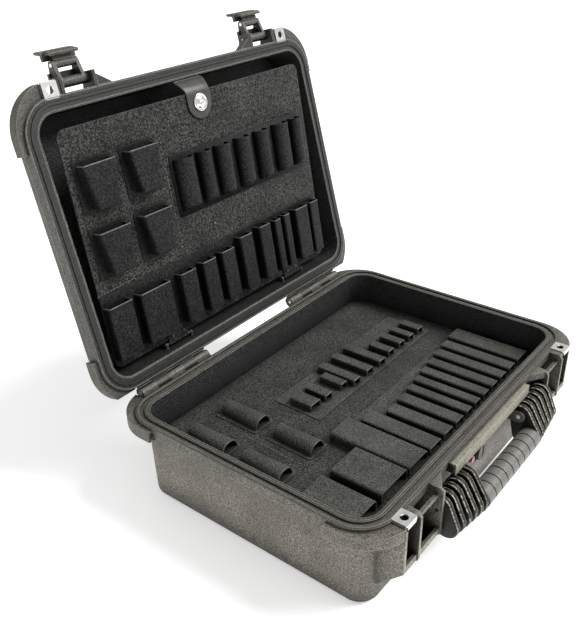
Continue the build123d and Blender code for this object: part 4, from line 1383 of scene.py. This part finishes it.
@dataclass
class Pallets:
    """The two tool pallets with their pockets, clips and seams."""

    base_board: tuple[str, ...] = ("base_pallet_board",)
    base_pockets: tuple[str, ...] = (
        "base_long_pockets",
        "base_box_pockets",
        "base_short_pockets",
        "base_holsters",
    )
    lid_board: tuple[str, ...] = ("lid_pallet_board", "pallet_clip_left", "pallet_clip_right")
    lid_pockets: tuple[str, ...] = (
        "lid_tube_pockets",
        "lid_row_pockets",
        "lid_wedge_pockets",
    )
    metal: tuple[str, ...] = ("pallet_rivets", "pallet_rod_left", "pallet_rod_right", "tab_rivets")
    seam_out: float = 0.05
    seams: dict[Pallet, tuple[tuple[tuple[float, float], ...], ...]] = field(
        default_factory=lambda: {
            Pallet.BASE: (
                ((-82.0, 57.0), (-76.0, 32.0), (-50.0, 23.5), (-19.0, 23.0), (6.0, 14.5),
                 (55.0, 14.0), (82.0, 16.0), (117.0, 15.0), (151.0, 13.0), (184.0, 12.0)),
                ((-129.0, 111.0), (-138.0, 71.0), (-142.0, -16.0)),
                ((-178.0, 39.0), (-145.0, -18.0)),
            ),
            Pallet.LID: (
                ((-64.0, 207.5), (-28.0, 207.5), (12.0, 207.5), (44.0, 209.0), (91.0, 210.0),
                 (121.0, 210.0), (173.0, 207.0)),
                ((-200.0, 92.0), (-150.0, 94.0), (-111.0, 86.0), (-80.0, 82.0), (-52.0, 81.0),
                 (5.0, 82.0), (36.0, 90.0), (74.0, 90.0), (131.0, 90.0), (180.0, 90.0)),
                ((-69.0, 232.0), (-69.0, 104.0)),
            ),
        }
    )
    long_start: float = -49.0
    long_gap: float = 7.3
    long_widths: tuple[float, ...] = (
        24.0, 20.0, 18.0, 14.0, 14.0, 15.0, 16.0, 17.0, 18.0, 28.0,
    )
    front_mouth: float = -121.0
    short_lefts: tuple[float, ...] = (
        -62.0, -35.0, -5.0, 11.5, 40.0, 67.0, 94.0, 120.0, 143.0, 166.0,
    )
    short_widths: tuple[float, ...] = (
        19.0, 13.0, 13.0, 14.0, 14.0, 14.0, 13.0, 13.0, 12.0, 13.0,
    )
    short_mouths: tuple[float, ...] = (
        28.0, 26.0, 25.0, 17.0, 17.0, 16.0, 19.0, 19.0, 18.0, 18.0,
    )
    holster_columns: tuple[float, ...] = (-171.0, -115.0)
    holster_mouths: tuple[float, ...] = (56.0, -20.0)
    holster_width: float = 25.0
    row_lefts: tuple[float, ...] = (
        -199.0, -154.0, -91.0, -54.0, -20.0, 16.0, 53.5, 84.5, 104.0, 129.0, 161.5,
    )
    row_widths: tuple[float, ...] = (
        33.0, 46.0, 25.0, 23.0, 23.0, 23.0, 22.0, 12.5, 12.5, 27.0, 18.0,
    )
    row_mouths: tuple[float, ...] = (
        78.0, 77.0, 77.0, 78.0, 79.0, 86.0, 87.0, 86.0, 87.0, 87.0, 87.0,
    )
    wedge_columns: tuple[float, ...] = (-166.0, -104.0)
    wedge_mouths: tuple[float, ...] = (231.0, 159.0)
    wedge_width: float = 43.0
    hem_radius: float = 0.85 * MM
    # Height and corner of each kind of mouth
    long_arch: tuple[float, float] = (9.0, 2.4)
    short_arch: tuple[float, float] = (8.5, 1.6)
    holster_arch: tuple[float, float] = (12.5, 11.5)
    row_arch: tuple[float, float] = (12.0, 2.4)
    wedge_arch: tuple[float, float] = (13.0, 2.4)

    def mouths(self, pallet: Pallet) -> list[Mouth]:
        """List the mouths of a pallet's pockets.

        Args:
            pallet: The pallet.

        Returns:
            The mouths, in no order that matters.
        """
        if pallet is Pallet.LID:
            rows = zip(self.row_lefts, self.row_widths, self.row_mouths)
            mouths = [Mouth(*row, *self.row_arch) for row in rows]
            start = -0.5 * self.wedge_width
            for centre in self.wedge_columns:
                for mouth in self.wedge_mouths:
                    mouths.append(
                        Mouth(centre + start, self.wedge_width, mouth, *self.wedge_arch)
                    )
            return mouths
        shorts = zip(self.short_lefts, self.short_widths, self.short_mouths)
        mouths = [Mouth(*short, *self.short_arch) for short in shorts]
        left = self.long_start
        for width in self.long_widths:
            mouths.append(Mouth(left, width, self.front_mouth, *self.long_arch))
            left += width + self.long_gap
        start = -0.5 * self.holster_width
        for centre in self.holster_columns:
            for mouth in self.holster_mouths:
                mouths.append(
                    Mouth(centre + start, self.holster_width, mouth, *self.holster_arch)
                )
        return mouths

    def dress(self, frame: dict, finishes: Finishes) -> None:
        """Give the sheets and the hardware their materials."""
        paint(
            frame,
            finishes,
            {
                BASE_BOARD: self.base_board,
                BASE_POCKETS: self.base_pockets,
                LID_BOARD: self.lid_board,
                LID_POCKETS: self.lid_pockets,
                DARK_STEEL: self.metal,
            },
        )

    def build(self, finishes: Finishes) -> None:
        """Lay the stitched seams and the rolled hems of both pallets.

        Args:
            finishes: The finishes of the case.
        """
        tool = stitch_tool(finishes.get(THREAD))
        for pallet, seams in self.seams.items():
            paths = [
                [pallet_place(pallet, x, y, self.seam_out) for x, y in seam] for seam in seams
            ]
            piece = tool.apply(f"{pallet.value}_seams", paths)
            settle(piece, finishes.get(THREAD), pallet.value)
        bead = bead_tool(finishes.get(HEM))
        for pallet in Pallet:
            arches = [mouth.arch(pallet) for mouth in self.mouths(pallet)]
            hems = bead.apply(f"{pallet.value}_hems", arches, Radius=self.hem_radius)
            settle(hems, finishes.get(HEM), pallet.value)


@dataclass
class TubePockets:
    """The half-round pockets across the middle of the lid's board, on their sheet."""

    centres: tuple[float, ...] = (-44.5, -12.0, 20.0, 57.0, 93.0, 132.0, 162.0)
    widths: tuple[float, ...] = (28.0, 20.0, 23.0, 23.0, 22.0, 26.0, 18.0)
    low: float = 142.0
    high: float = 204.0
    height: float = 13.0
    wall: float = 1.3
    power: float = 2.7
    sheet: float = 1.0
    side_margin: float = 4.0
    end_margin: float = 5.0
    corner: float = 3.0
    corner_steps: int = 6
    end_round: float = 9.0
    end_width: float = 0.84
    root: float = 0.2
    flare: float = 0.5
    flare_start: float = 0.8
    sag: float = 0.35
    sag_change: float = 0.5
    sag_turn: float = 2.1
    columns: int = 22
    # Shares of a tube's length at which it is shaped
    rows: tuple[float, ...] = (
        0.0, 0.012, 0.03, 0.055, 0.085, 0.12, 0.18, 0.3, 0.45, 0.6, 0.75, 0.87, 0.94, 0.98, 1.0,
    )

    def build(self, finishes: Finishes) -> None:
        """Form every tube and the sheet under them as one piece.

        Args:
            finishes: The finishes of the case.
        """
        form = Form()
        self.add_sheet(form)
        for index, (centre, width) in enumerate(zip(self.centres, self.widths)):
            self.add_tube(form, centre, width, index)
        piece = form.piece("lid_tube_row")
        settle(piece, finishes.get(LID_POCKETS), "lid_pallet")
        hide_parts("lid_tube_pockets")

    def add_sheet(self, form: Form) -> None:
        """Add the flat sheet, with rounded corners, to the form.

        Args:
            form: The piece's form so far.
        """
        left = self.centres[0] - 0.5 * self.widths[0] - self.side_margin + self.corner
        right = self.centres[-1] + 0.5 * self.widths[-1] + self.side_margin - self.corner
        low = self.low - self.end_margin + self.corner
        high = self.high + self.end_margin - self.corner
        outline = []
        for index, (x, y) in enumerate(((right, high), (left, high), (left, low), (right, low))):
            for step in range(self.corner_steps + 1):
                angle = math.radians(90.0 * (index + step / self.corner_steps))
                outline.append(
                    (x + self.corner * math.cos(angle), y + self.corner * math.sin(angle))
                )
        rings = [
            [pallet_place(Pallet.LID, x, y, out) for x, y in outline] for out in (0.0, self.sheet)
        ]
        top = form.loft(rings, ends=(True, False))
        # The order of a flat face's corners decides how its soft shading is spread
        form.faces.append(tuple(range(top + len(outline) - 1, top - 1, -1)))

    def add_tube(self, form: Form, centre: float, width: float, index: int) -> None:
        """Add one tube, closed and rounded at its low end and open at its mouth.

        Args:
            form: The piece's form so far.
            centre: Middle of the tube along the case, in millimetres.
            width: Width of the tube, in millimetres.
            index: Place of the tube in its row, which varies its sag.
        """
        rings = []
        ring = 2 * (self.columns + 1)
        length = self.high - self.low
        for share in self.rows:
            up = self.low + share * length
            opening = (share - self.flare_start) / (1.0 - self.flare_start)
            swell = self.flare * max(0.0, opening) ** 2
            uneven = 1.0 + self.sag_change * math.sin(self.sag_turn * index)
            dip = self.sag * math.sin(math.pi * share) * uneven
            rings.append([])
            for inset, order in ((0.0, 1), (self.wall, -1)):
                near = min(max((up - self.low - inset) / self.end_round, 0.0), 1.0)
                rise = math.sqrt(1.0 - (1.0 - near) ** 2)
                half = (0.5 * width - inset) * (self.end_width + (1.0 - self.end_width) * rise)
                tall = (self.height - inset - dip + swell) * rise
                spots = []
                for step in range(self.columns + 1):
                    angle = math.pi * (1.0 - step / self.columns)
                    across = abs(math.cos(angle)) ** (2.0 / self.power)
                    lift = abs(math.sin(angle)) ** (2.0 / self.power)
                    spots.append(
                        (
                            centre + math.copysign(half * across, math.cos(angle)),
                            self.sheet - self.root + (tall + self.root) * lift,
                        )
                    )
                rings[-1].extend(
                    pallet_place(Pallet.LID, across, up, out) for across, out in spots[::order]
                )
        mouth = form.loft(rings, ends=(True, False))
        for i in range(self.columns):
            form.faces.append(
                (mouth + i, mouth + i + 1, mouth + ring - 2 - i, mouth + ring - 1 - i)
            )


@dataclass
class Strap:
    """The closing strap with its chrome snap."""

    centre: float = 2.0
    root_half: float = 23.0
    half: float = 19.5
    thickness: float = 2.0
    tip: float = 239.0
    bend: float = 272.6
    snap: float = 257.5
    snap_radius: float = 10.5
    board_out: float = 2.55
    fold: tuple[float, float] = (-142.4, 112.4)
    tab_top: tuple[float, float] = (-142.61, 131.1)
    tab_low: tuple[float, float] = (-144.1, 116.4)
    bend_end: tuple[float, float] = (-140.6, 111.2)
    reaches: tuple[float, ...] = (3.0, 5.0, 7.0)
    bend_parts: int = 9
    tip_parts: int = 29
    tip_share: float = 0.9999
    narrow: float = 34.0
    widening: float = 14.0
    # Shares of the half width at which the strap's section is shaped
    profile: tuple[float, ...] = (-1.0, -0.985, -0.95, -0.9, -0.86, -0.82, -0.45, 0.0)
    groove: float = 0.86
    groove_rise: float = 0.86
    edge_power: int = 16
    petals: int = 5
    petal_depth: float = 0.12
    petal_ring: tuple[float, float] = (5.0, 7.5)
    snap_turns: int = 48
    # Inset from the snap's radius and height over the strap
    snap_steps: tuple[tuple[float, float], ...] = (
        (0.5, 0.0), (0.0, 0.5), (0.1, 1.2), (0.8, 1.75), (1.8, 1.6), (2.5, 1.05),
        (3.2, 1.15), (4.3, 2.2), (5.6, 2.8), (7.2, 3.0), (8.2, 2.85), (8.9, 2.3),
    )

    def route(self) -> list[tuple[Vector, Vector, float]]:
        """Follow the strap's middle from its tab to its tip.

        Returns:
            For each row its middle point, its outward direction and its half width, with the
            point and the direction in the shut lid and in millimetres.
        """
        corners = [
            Vector(self.tab_top),
            Vector(self.tab_low),
            Vector(self.fold),
            Vector(self.board(self.bend)),
            Vector(self.board(self.tip)),
        ]
        line = self.soften(corners)
        rows = []
        length = 0.0
        total = sum((b - a).length for a, b in zip(line, line[1:]))
        for index, point in enumerate(line):
            if index:
                length += (point - line[index - 1]).length
            ahead = line[min(index + 1, len(line) - 1)] - line[max(index - 1, 0)]
            ahead.normalize()
            out = Vector((0.0, ahead.y, -ahead.x))
            left = total - length
            share = min(max((left - self.narrow) / self.widening, 0.0), 1.0)
            width = self.half + (self.root_half - self.half) * share
            if left < self.half:
                width = math.sqrt(max(self.half**2 - (self.half - left) ** 2, 0.0))
            rows.append((Vector((0.0, point.x, point.y)), out, width))
        return rows

    def board(self, up: float) -> tuple[float, float]:
        """Find a point above the board's face in the shut lid, in millimetres."""
        lean = BOARD_LEAN
        return (
            BOARD_PIVOT[0] - up * math.cos(lean) + self.board_out * math.sin(lean),
            BOARD_PIVOT[1] - up * math.sin(lean) - self.board_out * math.cos(lean),
        )

    def soften(self, corners: list[Vector]) -> list[Vector]:
        """Round a line's corners and divide its runs.

        Args:
            corners: The line's corner points.

        Returns:
            The points of the smooth line.
        """
        line = [corners[0]]
        for before, corner, after, reach in zip(
            corners, corners[1:], corners[2:], self.reaches
        ):
            start = corner + (before - corner).normalized() * reach
            end = corner + (after - corner).normalized() * reach
            line.append(start)
            for step in range(1, self.bend_parts):
                t = step / self.bend_parts
                line.append((1 - t) ** 2 * start + 2 * t * (1 - t) * corner + t * t * end)
            line.append(end)
        last = corners[-1]
        start = line[-1]
        for step in range(1, self.tip_parts + 1):
            share = math.sin(0.5 * math.pi * step / self.tip_parts)
            line.append(start + (last - start) * share)
        line.append(start + (last - start) * self.tip_share)
        return line

    def build(self, finishes: Finishes) -> None:
        """Model the strap as one bent strip and the snap as a pressed cap.

        Args:
            finishes: The finishes of the case.
        """
        columns = [*self.profile, *(-s for s in reversed(self.profile[:-1]))]
        rings = []
        for middle, out, width in self.route():
            top, low = [], []
            for s in columns:
                lip = self.groove_rise if abs(s) == self.groove else 1.0
                edge = math.sqrt(max(1.0 - abs(s) ** self.edge_power, 0.0))
                rise = 0.5 * self.thickness * lip * edge
                across = Vector((self.centre + s * width, 0.0, 0.0))
                top.append(middle + across + out * rise)
                low.append(middle + across - out * rise)
            rings.append([LID_OPEN @ (MM * p) for p in (*top, *reversed(low[1:-1]))])
        form = Form()
        form.loft(rings)
        strap = form.piece("closing_strap")
        strap.data.materials.append(finishes.get(STRAP_SKIN))
        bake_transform(strap)
        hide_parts("strap_tab", "strap_flap")
        LOG.info("closing_strap bends from lid to strap")
        self.build_snap(finishes)

    def build_snap(self, finishes: Finishes) -> None:
        """Turn the snap's cap: a rolled rim, a groove and a low dome with a shallow middle.

        Args:
            finishes: The finishes of the case.
        """
        base = self.board_out - BOARD_HALF + 0.5 * self.thickness
        low, high = self.petal_ring
        rings = []
        for inset, height in self.snap_steps:
            radius = self.snap_radius - inset
            depth = self.petal_depth if low < radius < high else 0.0
            ring = []
            for step in range(self.snap_turns):
                angle = 2 * math.pi * step / self.snap_turns
                out = base + height + depth * math.cos(self.petals * angle)
                across = self.centre + radius * math.cos(angle)
                along = self.snap + radius * math.sin(angle)
                ring.append(pallet_place(Pallet.LID, across, along, out))
            rings.append(ring)
        form = Form()
        form.loft(rings)
        cap = form.piece("snap_button")
        settle(cap, finishes.get(CHROME), "strap")
        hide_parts("snap_cap")

    def dress(self, frame: dict, finishes: Finishes) -> None:
        """Give the stud, cap, tab and flap their materials."""
        paint(
            frame,
            finishes,
            {CHROME: ("snap_stud", "snap_cap"), STRAP_SKIN: ("strap_tab", "strap_flap")},
        )


@dataclass
class Studio:
    """Floor, light and camera."""

    image: tuple[int, int] = (582, 621)
    focal: float = 804.79
    eye: tuple[float, float, float] = (-0.67314, -0.42683, 0.62406)
    right: tuple[float, float, float] = (0.61227643, -0.79051772, -0.01411778)
    up: tuple[float, float, float] = (0.3862789, 0.28350769, 0.87773116)
    back: tuple[float, float, float] = (-0.68985954, -0.5428675, 0.4789454)
    sensor: float = 36.0
    ambient: float = 0.6
    glow: float = 0.42
    key_strength: float = 3.6
    key_from: tuple[float, float, float] = (0.55, -0.62, 0.9)
    key_size: float = 0.5
    floor_half: float = 8.0
    paper: Colour = (0.9, 0.9, 0.9)
    paper_light: Colour = (0.94, 0.94, 0.94)
    paper_cloud: float = 0.4

    def build(self) -> None:
        """Set the world, the floor, the lights and the camera."""
        scene = bpy.context.scene
        scene.view_settings.view_transform = "Standard"
        world = bpy.data.worlds.new("studio")
        world.use_nodes = True
        backdrop = world.node_tree.nodes["Background"]
        backdrop.inputs["Color"].default_value = (1.0, 1.0, 1.0, 1.0)
        backdrop.inputs["Strength"].default_value = self.ambient
        scene.world = world
        self.build_floor()
        self.build_lights()
        self.build_camera()

    def build_floor(self) -> None:
        """Lay the pale floor, lit a little from below as on a light table."""
        half = self.floor_half
        corners = ((-half, -half), (half, -half), (half, half), (-half, half))
        floor = Form([Vector((x, y, 0.0)) for x, y in corners], [(0, 1, 2, 3)]).piece(
            "studio_floor"
        )
        graph = Graph("floor_paper")
        share = graph.noise(self.paper_cloud, 2.0)
        graph.feed(Base_Color=graph.blend(share, self.paper, self.paper_light))
        graph.set(
            Roughness=0.9, Emission_Color=(1.0, 1.0, 1.0, 1.0), Emission_Strength=self.glow
        )
        floor.data.materials.append(graph.material)

    def build_lights(self) -> None:
        """Add the soft key light from the front right."""
        light = bpy.data.lights.new("key", "SUN")
        light.energy = self.key_strength
        light.angle = self.key_size
        lamp = bpy.data.objects.new("key", light)
        lamp.rotation_euler = Vector(self.key_from).to_track_quat("Z", "Y").to_euler()
        bpy.context.scene.collection.objects.link(lamp)

    def build_camera(self) -> None:
        """Stand the camera at the photograph's place and angle."""
        lens = bpy.data.cameras.new("view")
        lens.sensor_fit = "AUTO"
        lens.sensor_width = self.sensor
        lens.lens = self.focal * self.sensor / max(self.image)
        camera = bpy.data.objects.new("view", lens)
        turn = Matrix((self.right, self.up, self.back)).transposed().to_4x4()
        camera.matrix_world = Matrix.Translation(self.eye) @ turn
        bpy.context.scene.collection.objects.link(camera)
        bpy.context.scene.camera = camera


def main() -> None:
    """Load the frame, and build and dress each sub-assembly."""
    logging.basicConfig(level=logging.INFO, format="%(name)s: %(message)s")
    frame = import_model()
    finishes = Finishes()
    Studio().build()
    shells = Shells()
    shells.dress(frame, finishes)
    shells.build(finishes)
    Latches().dress(frame, finishes)
    handle = Handle()
    handle.dress(frame, finishes)
    handle.build(finishes)
    pallets = Pallets()
    pallets.dress(frame, finishes)
    pallets.build(finishes)
    TubePockets().build(finishes)
    strap = Strap()
    strap.dress(frame, finishes)
    strap.build(finishes)


if __name__ == "__main__":
    main()
